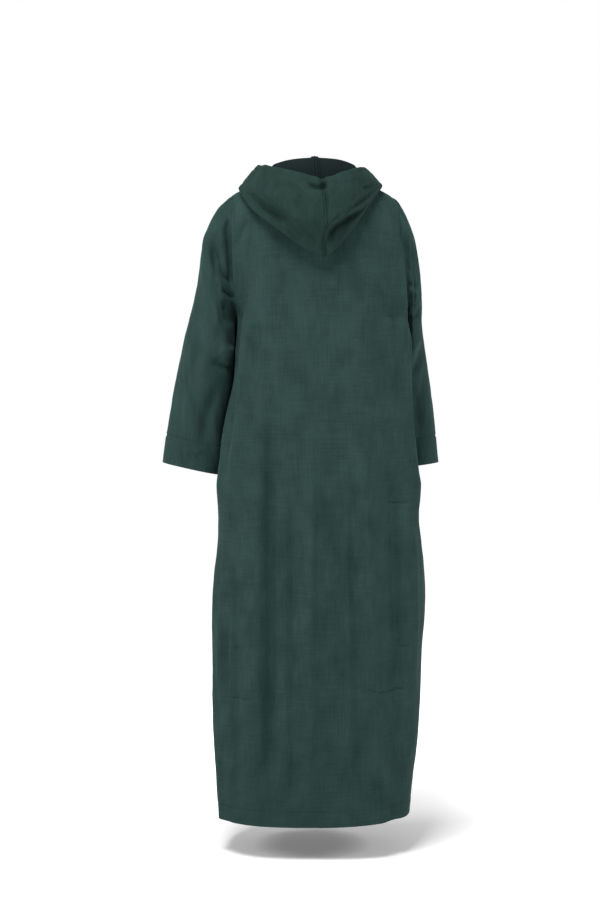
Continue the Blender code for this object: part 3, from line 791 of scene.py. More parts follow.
@dataclass
class Sleeve:
    """A sleeve: a tube of rings from the armhole to the cuff."""

    half: Half
    rings: tuple[Ring, ...]
    folds: tuple[SleeveFold, ...]
    creases: tuple[Crease, ...]
    front_creases: tuple[Crease, ...]
    name: str
    nodes: tuple[str, ...]
    flat: Spot
    area: float
    rings_read: int = 70
    spacing: float = 0.0036
    squareness: float = 2.2
    fold_fade: float = 0.30
    bulge_reach: float = 0.50
    cap_dip: float = 0.0012
    cap_place: float = 0.009
    cap_reach: float = 0.007
    cap_fade: float = 0.5
    seam_calm: float = 0.003
    relief_radius: float = 0.055
    reliefs: tuple[Relief, ...] = (Relief(0.0022, 0.050, 0.080), Relief(0.0007, 0.018, 0.0288))
    cuff_ripples: float = 70.0
    cuff_groove: StitchGroove = StitchGroove(0.0014, 0.0003, 0.0024)
    steady_rounds: int = 14
    seed: float = 3.0

    def armhole(self, back: Cloth, front: Cloth, underarm: int) -> Array:
        """First ring, from the shoulder down the back and up the front.

        Args:
            back: The back panel.
            front: The front panel.
            underarm: Their row at the underarm.

        Returns:
            The ring's points, a seam's gap from the armhole's edge.
        """
        edge = -1 if self.half is Half.LEFT else 0
        loops = []
        for one, other in ((back.points, front.points), (back.normals(), front.normals())):
            down = one[underarm:, edge][::-1]
            up = other[underarm:, edge]
            shoulder = 0.5 * (down[0] + up[-1])
            bottom = 0.5 * (down[-1] + up[0])
            ring = np.vstack((shoulder, down[1:-1], bottom, up[1:-1]))
            loops.append(np.vstack((ring[-1], ring, ring[0])))
        start, _ = seam_start(loops[0], loops[1], loops[0].mean(axis=0))
        return start[1:-1]

    def places(self, length: float) -> Array:
        """Distances along the sleeve of its rows, closer together at the cuff and its stitch line."""
        plain = np.linspace(0.0, length, int(length / self.spacing))
        return with_marks(plain, (length - CUFF_TURN,), length - EDGE_ROWS)

    def plain_ring(self, ring: Ring, reach: Array, depth: Array) -> Array:
        """Find the points of a plain ring, as the sleeve's table gives it.

        Args:
            ring: The ring.
            reach: Place of each point from the inner side at -1 to the outer side at 1.
            depth: Place of each point from the front at -1 to the back at 1.

        Returns:
            The points, about the ring's own middle.
        """
        half_x = 0.5 * (ring.outer_x - ring.inner_x)
        half_z = 0.5 * (ring.outer_z - ring.inner_z)
        return np.column_stack((half_x * reach, ring.half_depth * depth, half_z * reach))

    def angles(self, start: Array) -> Array:
        """Find how far round the sleeve each column lies.

        Args:
            start: Points of the armhole, from the shoulder down the back and up the front.

        Returns:
            An angle for each column, half a turn at the underarm.
        """
        count = len(start)
        half = count // 2
        lengths = run(np.vstack((start, start[:1])), 0)
        angles = np.empty(count)
        angles[: half + 1] = math.pi * lengths[: half + 1] / lengths[half]
        front_share = (lengths[half:-1] - lengths[half]) / (lengths[-1] - lengths[half])
        angles[half:] = math.pi * (1.0 + front_share)
        return angles

    def follow(self, start: Array, angles: Array, shares: Array) -> Array:
        """Run the cloth down the sleeve's rings.

        Args:
            start: Points of the armhole.
            angles: How far round the sleeve each of them lies.
            shares: Shares of the way along the sleeve that get a row.

        Returns:
            A grid of points, the armhole first.
        """
        power = 2.0 / self.squareness
        reach = np.sign(np.cos(angles)) * np.abs(np.cos(angles)) ** power
        depth = np.sign(np.sin(angles)) * np.abs(np.sin(angles)) ** power
        # The first rings still carry the way that the armhole bows out of a plain ring
        bulge = start - 0.5 * (start[0] + start[len(start) // 2])
        bulge -= self.plain_ring(self.rings[0], reach, depth)
        bulge -= np.outer(reach, bulge[0])
        rings = table(self.rings)
        rows = [start]
        for share, values in zip(shares, smooth_read(np.linspace(0.0, 1.0, len(rings)), rings, shares)):
            ring = Ring(*values)
            middle_x = 0.5 * (ring.outer_x + ring.inner_x)
            middle_z = 0.5 * (ring.outer_z + ring.inner_z)
            row = self.plain_ring(ring, reach, depth) + np.array((middle_x, ring.middle_y, middle_z))
            rows.append(row + bulge * (1.0 - fade(share, self.bulge_reach)))
        return np.array(rows)

    def hang(self, back: Cloth, front: Cloth, underarm: int) -> Cloth:
        """Hang the sleeve from its armhole, with its folds and creases.

        Args:
            back: The back panel.
            front: The front panel.
            underarm: Their row at the underarm.

        Returns:
            The cloth, armhole first.
        """
        start = self.armhole(back, front, underarm)
        angles = self.angles(start)
        shares = np.linspace(0.0, 1.0, self.rings_read)
        points = self.follow(start, angles, shares)
        cloth = Cloth(self.name + "_cloth", points, -float(self.half.value), closed=True)
        cloth.steady(self.steady_rounds)
        cloth.move(self.fold_offset(shares, np.degrees(angles)))
        lengths = run(cloth.points, 0).mean(axis=1)
        flat_rows = cloth.points.reshape(len(lengths), -1)
        wanted = self.places(lengths[-1])
        cloth.points = smooth_read(lengths, flat_rows, wanted).reshape(len(wanted), len(start), 3)
        cloth.steady(self.steady_rounds)
        away = run(cloth.points, 0)
        calm = fade(away, self.seam_calm)
        cloth.press(self.creases, Side.BACK, calm)
        cloth.press(self.front_creases, Side.FRONT, calm)
        turns = (np.degrees(angles) / 360.0)[None, :]
        for relief in self.reliefs:
            self.rumple(cloth, relief, turns[0], away, calm)
        dip = -self.cap_dip * bump(away - self.cap_place, self.cap_reach)
        dip = dip * fade(np.sin(math.pi * turns) ** 2, self.cap_fade)
        wave = np.sin(self.cuff_ripples * 2.0 * math.pi * turns) * np.ones_like(away)
        cloth.move(dip + self.cuff_groove.offset(away - away[-1:] + CUFF_TURN, wave))
        return cloth

    def rumple(self, cloth: Cloth, relief: Relief, turns: Array, away: Array, calm: Array) -> None:
        """Give the tube a fine uneven relief that closes round it.

        Args:
            cloth: The sleeve's cloth.
            relief: The relief.
            turns: How far round the sleeve each column lies, from 0 to 1.
            away: Distance of each point from the armhole.
            calm: Share of the relief that each point takes.
        """
        radius = self.relief_radius / relief.across
        ring = radius * np.column_stack((np.cos(2.0 * math.pi * turns), np.sin(2.0 * math.pi * turns)))
        heights = np.empty_like(away)
        for row, column in np.ndindex(away.shape):
            along = away[row, column] / relief.up + self.seed
            heights[row, column] = noise.noise(Vector((*ring[column], along)))
        cloth.move(heights * relief.height * calm)

    def fold_offset(self, shares: Array, turns: Array) -> Array:
        """Find how far the long folds push each point out of the cloth.

        Args:
            shares: Shares of the way along the sleeve that have a row.
            turns: How far round the sleeve each column lies, in degrees.

        Returns:
            An offset for each point, 0 in the armhole's own row.
        """
        offset = np.zeros((len(shares) + 1, len(turns)))
        for fold in self.folds:
            along = (shares - fold.along_start) / (fold.along_end - fold.along_start)
            centre = fold.turn_start + (fold.turn_end - fold.turn_start) * along
            ends = fade(along, self.fold_fade) * fade(1.0 - along, self.fold_fade)
            shape = bump(turns[None, :] - centre[:, None], fold.half_width)
            offset[1:] += fold.depth * ends[:, None] * shape
        return offset

    def stitch_row(self, cloth: Cloth) -> int:
        """The row that lies on the cuff's stitch line."""
        away = run(cloth.points, 0).mean(axis=1)
        return int(np.argmin(np.abs(away[-1] - away - CUFF_TURN)))

    def hem(self, cloth: Cloth) -> Array:
        """1 at the points of the turned cuff, else 0."""
        turned = (np.arange(len(cloth.points)) >= self.stitch_row(cloth)).astype(float)
        return np.repeat(turned[:, None], cloth.points.shape[1], axis=1)


@dataclass
class HoodHalf:
    """Half of the lowered hood: up from the neckline, over, down the back and up to its free rim.

    Each column passes through a knee and a stand at the neckline, the roll, the bottom fold, the
    crease, the crown and the rim. The crease and the crown are placed by shares of the way from the
    bottom fold up to the rim.
    """

    half: Half
    profiles: tuple[Profile, ...]
    creases: tuple[Crease, ...]
    name: str
    nodes: tuple[str, ...]
    flat: Spot
    area: float
    fold_radius: float = 0.006
    side_radius: float = 0.0035
    side_start: float = 0.20
    side_reach: float = 0.30
    knee: float = 0.003
    stand: float = 0.005
    stand_share: float = 0.45
    roll_drop: float = 0.012
    under_shares: Point = (0.35, 0.60, 0.82)
    crease_foot: float = 0.60
    crease_puff: float = 0.10
    crease_lip: float = 0.015
    crease_slope: float = 0.10
    crease_run: float = 0.20
    crown_full: float = 0.68
    crown_ease: float = 0.86
    front_open: int = 5
    near_share: float = 0.045
    near_columns: int = 14
    far_columns: int = 80
    fineness: int = 7
    spans: int = 17
    over_span: int = 10
    neck_inside: Point = (0.008, 0.0, 0.086)
    topstitch: float = 0.0052
    seam_calm: float = 0.010
    reliefs: tuple[Relief, ...] = (Relief(0.0026, 0.045, 0.055), Relief(0.0008, 0.014, 0.018, 7.0))
    seam_dip: float = 0.0042
    topstitch_dip: float = 0.0032
    seam_reach: float = 0.0021
    seam_ripple: Ripple = Ripple(0.0036, 2.5, 0.023)
    ripple_height: float = 0.00035
    ripple_place: float = 1.6
    ripple_reach: float = 0.005
    rim_dip: float = 0.0008
    rim_reach: float = 0.0025
    seed: float = 5.0

    def neck_edge(self, back: Array, front: Array, form: BodyForm) -> Array:
        """Read values along half the neckline.

        Args:
            back: A value for each point of the back panel.
            front: A value for each point of the front panel.
            form: The form of the panels.

        Returns:
            Their values from the centre back to the front of the V.
        """
        middle = form.half_columns
        neck = form.neck_columns
        sign = self.half.value
        behind = back[-1, middle : middle + sign * (neck + 1) : sign]
        ahead = front[-1, middle + sign * neck : middle + sign * (self.front_open - 1) : -sign]
        side = 0.5 * (behind[-1] + ahead[0])
        return np.vstack((behind[:-1], side, ahead[1:]))

    def over_row(self) -> int:
        """The row at which the upper layer starts."""
        return self.over_span * self.fineness

    def shares(self) -> Array:
        """Shares round the neck of the hood's columns, closer together beside the centre seam."""
        near = np.linspace(0.0, self.near_share, self.near_columns)
        return np.concatenate((near, np.linspace(self.near_share, 1.0, self.far_columns)[1:]))

    def way(self, start: Array, away: Array, share: float, profile: Profile, tree: BVHTree) -> list[Array]:
        """Find the points that one column of the hood passes through.

        Args:
            start: Its first point, at the neckline.
            away: The direction in which it leaves the neckline.
            share: Its share of the way round the neck.
            profile: The section of the hood there.
            tree: The panels that the hood lies on.

        Returns:
            The points, from the neckline to the rim.
        """
        roll = np.array((profile.roll_x, profile.roll_y, profile.roll_z))
        fold = np.array((profile.fold_x, profile.fold_y, profile.fold_z))
        rim = np.array((profile.rim_x, profile.rim_y, profile.rim_z))
        outward = unit(np.array((fold[0] - start[0], fold[1] - start[1], 0.0)))
        tighten = fade(share - self.side_start, self.side_reach)
        radius = self.fold_radius + (self.side_radius - self.fold_radius) * tighten
        knee = start + away * self.knee
        stand = start + away * self.stand
        stand[2] += self.stand_share * (roll[2] - stand[2])
        under_start = roll + (outward - np.array((0.0, 0.0, 1.0))) * self.roll_drop
        under = [lifted(roll + (fold - roll) * part, tree, LAY_GAP) for part in self.under_shares]
        low = lifted(fold, tree, LAY_GAP)
        normal = unit(np.cross(low - roll, np.array((-outward[1], outward[0], 0.0))))
        if np.dot(normal, outward) < 0.0:
            normal = -normal
        turn = low + normal * radius + unit(low - under[-1]) * radius * 0.5
        over = low + normal * 2.0 * radius
        crest = rim - over
        puff = normal * profile.puff
        lip = profile.crease + self.crease_lip + self.crease_slope * (1.0 - profile.step)
        crown = (
            over + crest * profile.crease * self.crease_foot,
            over + crest * profile.crease + puff * self.crease_puff,
            over + crest * lip + puff * profile.step,
            over + crest * (profile.crease + self.crease_run) + puff,
            over + crest * self.crown_full + puff,
            over + crest * self.crown_ease + puff * 0.5,
            rim,
        )
        crown = [lifted(point, tree, LAY_GAP + 2.0 * radius) for point in crown]
        return [start, knee, stand, roll, under_start, *under, low, turn, over, *crown]

    def fall(self, back: Cloth, front: Cloth, form: BodyForm, tree: BVHTree) -> Cloth:
        """Let the hood half fall over the back, with its creases.

        Args:
            back: The back panel.
            front: The front panel.
            form: Their form.
            tree: Search tree over both.

        Returns:
            The cloth, neckline first.
        """
        edge = self.neck_edge(back.points, front.points, form)
        normals = self.neck_edge(back.normals(), front.normals(), form)
        start, away = seam_start(edge, normals, np.array(self.neck_inside))
        away[0, 0] = 0.0
        away = unit(away)
        shares = self.shares()
        places = np.linspace(0.0, 1.0, len(start))
        rows = table(self.profiles)
        spans = np.arange(self.spans * self.fineness + 1) / self.fineness
        columns = []
        for share, values in zip(shares, smooth_read(rows[:, 0], rows, shares)):
            here = np.array([np.interp(share, places, start[:, axis]) for axis in range(3)])
            on = unit(np.array([np.interp(share, places, away[:, axis]) for axis in range(3)]))
            knots = np.array(self.way(here, on, share, Profile(*values), tree))
            steps = np.sqrt(np.linalg.norm(np.diff(knots, axis=0), axis=1))
            lengths = np.concatenate(([0.0], np.cumsum(steps)))
            wanted = np.interp(spans, np.arange(self.spans + 1), lengths)
            columns.append(smooth_read(lengths, knots, wanted))
        points = np.array(columns).transpose(1, 0, 2)
        cloth = Cloth(self.name + "_cloth", points, -float(self.half.value))
        crown = fade(np.arange(len(points)) - self.over_row(), float(self.fineness))[:, None]
        across = run(cloth.points, 1)
        cloth.press(self.creases, Side.BACK, crown * np.ones_like(across))
        cloth.rumple(self.reliefs, self.seed, fade(across, self.seam_calm) * crown)
        self.sink_seams(cloth)
        return cloth

    def sink_seams(self, cloth: Cloth) -> None:
        """Press the centre seam, its topstitch line and the rim's stitch line into the cloth.

        Args:
            cloth: The hood half's cloth.
        """
        across = run(cloth.points, 1)
        up = run(cloth.points, 0)
        offset = -self.topstitch_dip * bump(across - self.topstitch, self.seam_reach)
        offset -= self.seam_dip * bump(across, self.seam_reach)
        beside = bump(across - self.ripple_place * self.topstitch, self.ripple_reach)
        offset += self.ripple_height * self.seam_ripple.at(up) * beside
        offset -= self.rim_dip * bump(up[-1:] - up - RIM_TURN, self.rim_reach)
        cloth.move(offset)

    def hem(self, cloth: Cloth) -> Array:
        """1 at the points of the rim's turned hem, else 0."""
        up = run(cloth.points, 0)
        return ((up[-1:] - up) <= RIM_TURN).astype(float)


def lifted(point: Array, tree: BVHTree, gap: float) -> Array:
    """Move a point out to at least the gap from the panels.

    Args:
        point: The point.
        tree: Search tree over the panels.
        gap: The least distance from them.

    Returns:
        The point where it is far enough out, else its new place.
    """
    near, normal, _, _ = tree.find_nearest(Vector(point))
    height = (Vector(point) - near).dot(normal)
    if height >= gap:
        return np.asarray(point, dtype=float)
    return np.array(near + normal * gap)


def panel_tree(panels: tuple[Cloth, Cloth]) -> BVHTree:
    """Make a search tree over the outer faces of the panels.

    Args:
        panels: The back and the front.

    Returns:
        The tree.
    """
    points = []
    faces = []
    for cloth in panels:
        start = len(points)
        rows, columns = cloth.points.shape[:2]
        points.extend(Vector(point) for point in cloth.points.reshape(-1, 3))
        for row in range(rows - 1):
            for column in range(columns - 1):
                a = start + row * columns + column
                quad = (a, a + 1, a + columns + 1, a + columns)
                faces.append(quad if cloth.flip > 0.0 else quad[::-1])
    return BVHTree.FromPolygons(points, faces)


def linear(colour: str) -> tuple[float, float, float, float]:
    """Turn a hex colour, as the screen shows it, into a linear one.

    Args:
        colour: The colour, with its leading sign.

    Returns:
        Red, green, blue and full cover.
    """
    shares = [int(colour[index : index + 2], 16) / 255.0 for index in (1, 3, 5)]
    red, green, blue = (s / 12.92 if s <= 0.04045 else ((s + 0.055) / 1.055) ** 2.4 for s in shares)
    return red, green, blue, 1.0


def add_node(tree: NodeTree, kind: str, inputs: dict[str | int, object], **settings: object) -> Node:
    """Add a node and fill in its sockets.

    Args:
        tree: The node tree.
        kind: Type name of the node.
        inputs: Value or output socket for each named or numbered input.
        settings: The node's own properties.

    Returns:
        The new node.
    """
    node = tree.nodes.new(kind)
    for name, value in settings.items():
        setattr(node, name, value)
    for key, value in inputs.items():
        if isinstance(value, NodeSocket):
            tree.links.new(value, node.inputs[key])
        else:
            node.inputs[key].default_value = value
    return node


def new_material(name: str) -> tuple[Material, NodeTree]:
    """Make an empty material.

    Args:
        name: Its name.

    Returns:
        The material and its node tree.
    """
    material = bpy.data.materials.new(name)
    material.use_nodes = True
    material.node_tree.nodes.clear()
    return material, material.node_tree


def add_surface(tree: NodeTree, inputs: dict[str | int, object]) -> None:
    """Add a surface shader and the material's output to its node tree.

    Args:
        tree: The node tree.
        inputs: Value or output socket for each of the shader's inputs.
    """
    shader = add_node(tree, "ShaderNodeBsdfPrincipled", inputs).outputs["BSDF"]
    add_node(tree, "ShaderNodeOutputMaterial", {"Surface": shader})


@dataclass(frozen=True)
class VelvetFinish:
    """Brushed cotton velvet: a short pile over fine ribs, rubbed lighter and darker in patches.

    The pile lifts a pale sheen where the cloth turns away, the ribs break it into soft upright
    streaks, and the patches keep a wide plain panel from looking flat. The warp and the weft give
    the ribs' width and length in metres. On the real cloth the ribs and the nap are well under a
    millimetre wide. That is too fine to show here, so they are drawn 4 mm and 2 mm wide.
    """

    name: str
    deep: str
    lit: str
    sheen: str
    sheen_weight: float = 0.14
    sheen_roughness: float = 0.35
    roughness: float = 0.92
    specular: float = 0.10
    noise_roughness: float = 0.55
    patch: float = 0.055
    patch_length: float = 1.5
    patch_detail: float = 4.0
    fine_detail: float = 1.0
    warp: Spot = (0.0042, 0.060)
    weft: Spot = (0.070, 0.0040)
    rib_share: float = 0.42
    shade_span: Spot = (0.58, 1.18)
    nap: float = 0.0020
    nap_share: float = 0.8
    relief: float = 0.00040

    def noise_at(self, tree: NodeTree, place: NodeSocket, size: Spot, detail: float) -> NodeSocket:
        """Add noise to the node tree.

        Args:
            tree: The node tree.
            place: Places on the flat cloth.
            size: Width and length of the noise's forms there.
            detail: How many finer layers it has.

        Returns:
            The noise, from 0 to 1.
        """
        scale = (1.0 / size[0], 1.0 / size[1], 1.0)
        scaled = add_node(tree, "ShaderNodeVectorMath", {0: place, 1: scale}, operation="MULTIPLY")
        inputs = {"Vector": scaled.outputs[0], "Scale": 1.0, "Detail": detail}
        inputs["Roughness"] = self.noise_roughness
        return add_node(tree, "ShaderNodeTexNoise", inputs).outputs["Fac"]

    def material(self) -> Material:
        """Make the finish.

        Returns:
            The new material.
        """
        material, tree = new_material(self.name)
        place = add_node(tree, "ShaderNodeUVMap", {}, uv_map="cloth").outputs["UV"]
        wide = (self.patch, self.patch * self.patch_length)
        patches = self.noise_at(tree, place, wide, self.patch_detail)
        fine = (self.warp, self.weft, (self.nap, self.nap))
        warp, weft, nap = (self.noise_at(tree, place, size, self.fine_detail) for size in fine)
        threads = add_node(tree, "ShaderNodeMath", {0: warp, 1: weft}, operation="ADD").outputs[0]
        grain = {0: threads, 1: self.rib_share, 2: patches}
        rubbed = add_node(tree, "ShaderNodeMath", grain, operation="MULTIPLY_ADD").outputs[0]
        span = {"Value": rubbed, "From Min": self.shade_span[0], "From Max": self.shade_span[1]}
        shade = add_node(tree, "ShaderNodeMapRange", span).outputs["Result"]
        mix = {0: shade, 6: linear(self.deep), 7: linear(self.lit)}
        colour = add_node(tree, "ShaderNodeMix", mix, data_type="RGBA")
        pile = {0: nap, 1: self.nap_share, 2: threads}
        height = add_node(tree, "ShaderNodeMath", pile, operation="MULTIPLY_ADD").outputs[0]
        relief = {"Height": height, "Distance": self.relief, "Strength": 1.0}
        raised = add_node(tree, "ShaderNodeBump", relief).outputs["Normal"]
        inputs = {
            "Base Color": colour.outputs[2],
            "Roughness": self.roughness,
            "Specular IOR Level": self.specular,
            "Sheen Weight": self.sheen_weight,
            "Sheen Roughness": self.sheen_roughness,
            "Sheen Tint": linear(self.sheen),
            "Normal": raised,
        }
        add_surface(tree, inputs)
        return material


@dataclass(frozen=True)
class PlainFinish:
    """An even, matt surface: the cloth's flat reverse or sewing thread.

    It has no pile and no shine, so it only takes the light's own shading.
    """

    name: str
    colour: str
    roughness: float = 0.90
    specular: float = 0.08

    def material(self) -> Material:
        """Make the finish.

        Returns:
            The new material.
        """
        material, tree = new_material(self.name)
        inputs = {
            "Base Color": linear(self.colour),
            "Roughness": self.roughness,
            "Specular IOR Level": self.specular,
        }
        add_surface(tree, inputs)
        return material


@dataclass
class Stitching:
    """A line of small stitches that lie on the cloth."""

    name: str
    points: Array
    normals: Array
    pitch: float = 0.0045
    length: float = 0.0034
    segments: int = 6
    rings: int = 4
    radius: float = 0.00032
    rise: float = 0.00012

    def sew(self, material: Material) -> Object:
        """Make the stitches as one object.

        Args:
            material: The thread's finish.

        Returns:
            The new object.
        """
        lengths = run(self.points, 0)
        places = np.arange(self.pitch, lengths[-1] - self.pitch, self.pitch)
        centres = smooth_read(lengths, self.points, places)
        normals = unit(smooth_read(lengths, self.normals, places))
        tangents = unit(smooth_read(lengths, np.gradient(self.points, lengths, axis=0), places))
        thread = bmesh.new()
        size = Matrix.Diagonal((0.5 * self.length, self.radius, self.radius, 1.0))
        for centre, tangent, normal in zip(centres, tangents, normals):
            across = np.cross(normal, tangent)
            turn = Matrix(np.column_stack((tangent, across, np.cross(tangent, across)))).to_4x4()
            spot = Matrix.Translation(centre + normal * self.rise) @ turn @ size
            rings = {"u_segments": self.segments, "v_segments": self.rings}
            bmesh.ops.create_uvsphere(thread, radius=1.0, matrix=spot, **rings)
        for face in thread.faces:
            face.smooth = True
        mesh = bpy.data.meshes.new(self.name)
        thread.to_mesh(mesh)
        thread.free()
        mesh.materials.append(material)
        line = bpy.data.objects.new(self.name, mesh)
        bpy.context.scene.collection.objects.link(line)
        return line


@dataclass(frozen=True)
class FloorFinish:
    """White paper that glows, which is painted light, more and more away from the garment, so that it runs
    on into the surround.

    Close to the garment the glow falls to its least, which paints a darker pool there round the lamps' soft
    shadow.
    """

    name: str
    colour: str
    glow: float = 0.82
    least_glow: float = 0.17
    dark_reach: float = 0.10
    full_reach: float = 1.10
    roughness: float = 0.95

    def material(self) -> Material:
        """Make the finish.

        Returns:
            The new material.
        """
        material, tree = new_material(self.name)
        place = add_node(tree, "ShaderNodeTexCoord", {}).outputs["Object"]
        reach = add_node(tree, "ShaderNodeVectorMath", {0: place}, operation="LENGTH").outputs["Value"]
        span = {"Value": reach, "From Min": self.dark_reach, "From Max": self.full_reach}
        span.update({"To Min": self.least_glow, "To Max": self.glow})
        # Painted light: the floor glows, least near the garment and fully far out, which paints a darker
        # pool round it
        glow = add_node(tree, "ShaderNodeMapRange", span, interpolation_type="SMOOTHSTEP").outputs["Result"]
        inputs = {
            "Base Color": linear(self.colour),
            "Roughness": self.roughness,
            "Specular IOR Level": 0.0,
            "Emission Color": linear("#ffffff"),
            "Emission Strength": glow,
        }
        add_surface(tree, inputs)
        return material


@dataclass(frozen=True)
class Lamp:
    """A square soft box, aimed at the middle of the garment."""

    name: str
    place: Point
    size: float
    power: float


@dataclass
class Studio:
    """The pale floor, the soft light and the camera."""

    floor_z: float = -1.520
    eye: Point = (0.0369, 4.5, -0.42)
    target: Point = (0.0369, 0.0, -0.599)
    lens: float = 78.2
    sky: float = 0.19
    sky_colour: str = "#ffffff"
    floor_half_width: float = 30.0
    lamps: tuple[Lamp, ...] = (
        Lamp("key", (0.75, 2.1, 2.85), 1.5, 190.0),
        Lamp("left_strip", (2.9, 1.0, 0.6), 1.1, 42.0),
        Lamp("right_strip", (-2.9, 1.0, 0.6), 1.1, 42.0),
    )
    finish: FloorFinish = FloorFinish("pale_studio_floor", "#f7f7f7")

    def build(self) -> None:
        """Put up the floor, the light and the camera."""
        scene = bpy.context.scene
        scene.view_settings.view_transform = "Standard"
        ground = bmesh.new()
        bmesh.ops.create_grid(ground, x_segments=8, y_segments=8, size=self.floor_half_width)
        mesh = bpy.data.meshes.new("floor")
        ground.to_mesh(mesh)
        ground.free()
        mesh.materials.append(self.finish.material())
        floor = bpy.data.objects.new("floor", mesh)
        floor.location.z = self.floor_z
        scene.collection.objects.link(floor)
        scene.world = self.surround()
        for lamp in self.lamps:
            light = bpy.data.lights.new(lamp.name, "AREA")
            light.energy = lamp.power
            light.size = lamp.size
            self.aim(bpy.data.objects.new(lamp.name, light), lamp.place)
        camera = bpy.data.objects.new("camera", bpy.data.cameras.new("camera"))
        camera.data.lens = self.lens
        self.aim(camera, self.eye)
        scene.camera = camera
        LOG.info("studio: floor, %d lamps and camera", len(self.lamps))

    def surround(self) -> World:
        """Make a white surround that is seen at full strength and lights the cloth more softly.

        Returns:
            The surround.
        """
        world = bpy.data.worlds.new("studio")
        world.use_nodes = True
        tree = world.node_tree
        tree.nodes.clear()
        white = {"Color": linear(self.sky_colour)}
        glow = add_node(tree, "ShaderNodeBackground", {**white, "Strength": self.sky}).outputs[0]
        seen = add_node(tree, "ShaderNodeBackground", {**white, "Strength": 1.0}).outputs[0]
        direct = add_node(tree, "ShaderNodeLightPath", {}).outputs["Is Camera Ray"]
        mixed = add_node(tree, "ShaderNodeMixShader", {0: direct, 1: glow, 2: seen}).outputs[0]
        add_node(tree, "ShaderNodeOutputWorld", {"Surface": mixed})
        return world

    def aim(self, item: Object, place: Point) -> None:
        """Put a lamp or the camera in its place, turned to the target.

        Args:
            item: The lamp or the camera.
            place: Where it stands.
        """
        item.location = place
        way = Vector(self.target) - Vector(place)
        item.rotation_euler = way.to_track_quat("-Z", "Y").to_euler()
        bpy.context.scene.collection.objects.link(item)


# The sections, rings and folds of the solids, which the cloth follows
LEVELS = (
    Level(-1.440, 0.220, 0.217, 0.160, 0.158, 0.000, 90.0),
    Level(-1.360, 0.226, 0.225, 0.160, 0.158, 0.000, 90.0),
    Level(-1.290, 0.231, 0.232, 0.159, 0.157, 0.000, 90.0),
    Level(-1.175, 0.237, 0.239, 0.157, 0.155, 0.000, 90.0),
    Level(-1.060, 0.237, 0.243, 0.154, 0.152, 0.000, 90.0),
    Level(-0.945, 0.235, 0.252, 0.150, 0.149, 0.000, 90.0),
    Level(-0.853, 0.229, 0.248, 0.147, 0.146, 0.000, 90.0),
    Level(-0.760, 0.226, 0.236, 0.144, 0.143, 0.000, 90.0),
    Level(-0.690, 0.224, 0.222, 0.142, 0.141, 0.000, 90.0),
    Level(-0.620, 0.216, 0.210, 0.140, 0.139, 0.000, 90.0),
    Level(-0.553, 0.208, 0.202, 0.138, 0.138, 0.000, 90.0),
    Level(-0.500, 0.196, 0.198, 0.137, 0.137, 0.000, 90.0),
    Level(-0.440, 0.183, 0.196, 0.136, 0.135, 0.000, 90.0),
    Level(-0.380, 0.180, 0.195, 0.135, 0.133, 0.000, 90.0),
    Level(-0.310, 0.179, 0.199, 0.133, 0.129, 0.000, 90.0),
    Level(-0.270, 0.184, 0.203, 0.132, 0.126, 0.040, 72.0),
    Level(-0.220, 0.188, 0.202, 0.130, 0.122, 0.055, 62.0),
    Level(-0.170, 0.190, 0.198, 0.127, 0.117, 0.061, 56.0),
    Level(-0.120, 0.191, 0.192, 0.122, 0.110, 0.061, 52.0),
)
BACK_FOLDS = (
    Fold(-0.260, -0.760, 0.188, 0.262, 0.026, 0.010),
    Fold(-0.780, -1.440, 0.262, 0.258, 0.022, 0.008),
    Fold(-0.460, -1.400, 0.100, 0.106, 0.030, -0.008),
    Fold(-0.560, -1.380, 0.014, 0.010, 0.024, 0.004),
    Fold(-0.600, -1.400, -0.118, -0.150, 0.026, 0.009),
    Fold(-0.420, -1.440, -0.165, -0.186, 0.024, -0.008),
    Fold(-0.250, -0.780, -0.236, -0.262, 0.036, 0.024),
    Fold(-0.090, -0.300, 0.128, 0.160, 0.018, -0.006),
)
FRONT_FOLDS = (
    Fold(-0.400, -1.440, 0.120, 0.130, 0.030, -0.010),
    Fold(-0.300, -1.400, 0.045, 0.060, 0.028, 0.007),
    Fold(-0.500, -1.440, -0.030, -0.045, 0.030, -0.008),
    Fold(-0.640, -1.400, -0.140, -0.150, 0.030, 0.009),
    Fold(-0.300, -0.760, -0.205, -0.215, 0.055, -0.016),
    Fold(-0.240, -0.640, 0.205, 0.215, 0.030, 0.023),
    Fold(-0.800, -1.440, 0.215, 0.222, 0.028, 0.008),
)
LEFT_SLEEVE = (
    Ring(0.203, -0.023, 0.1815, -0.3045, 0.000, 0.062),
    Ring(0.228, -0.050, 0.1850, -0.3110, 0.003, 0.066),
    Ring(0.251, -0.098, 0.1865, -0.3270, 0.005, 0.068),
    Ring(0.265, -0.158, 0.1870, -0.3450, 0.006, 0.069),
    Ring(0.274, -0.225, 0.1875, -0.3700, 0.006, 0.068),
    Ring(0.289, -0.290, 0.1890, -0.4050, 0.004, 0.066),
    Ring(0.306, -0.360, 0.1940, -0.4550, 0.001, 0.063),
    Ring(0.322, -0.435, 0.2045, -0.5100, -0.003, 0.059),
    Ring(0.336, -0.510, 0.2130, -0.5600, -0.006, 0.056),
    Ring(0.347, -0.575, 0.2175, -0.6120, -0.008, 0.053),
    Ring(0.3535, -0.627, 0.2220, -0.6560, -0.010, 0.052),
)
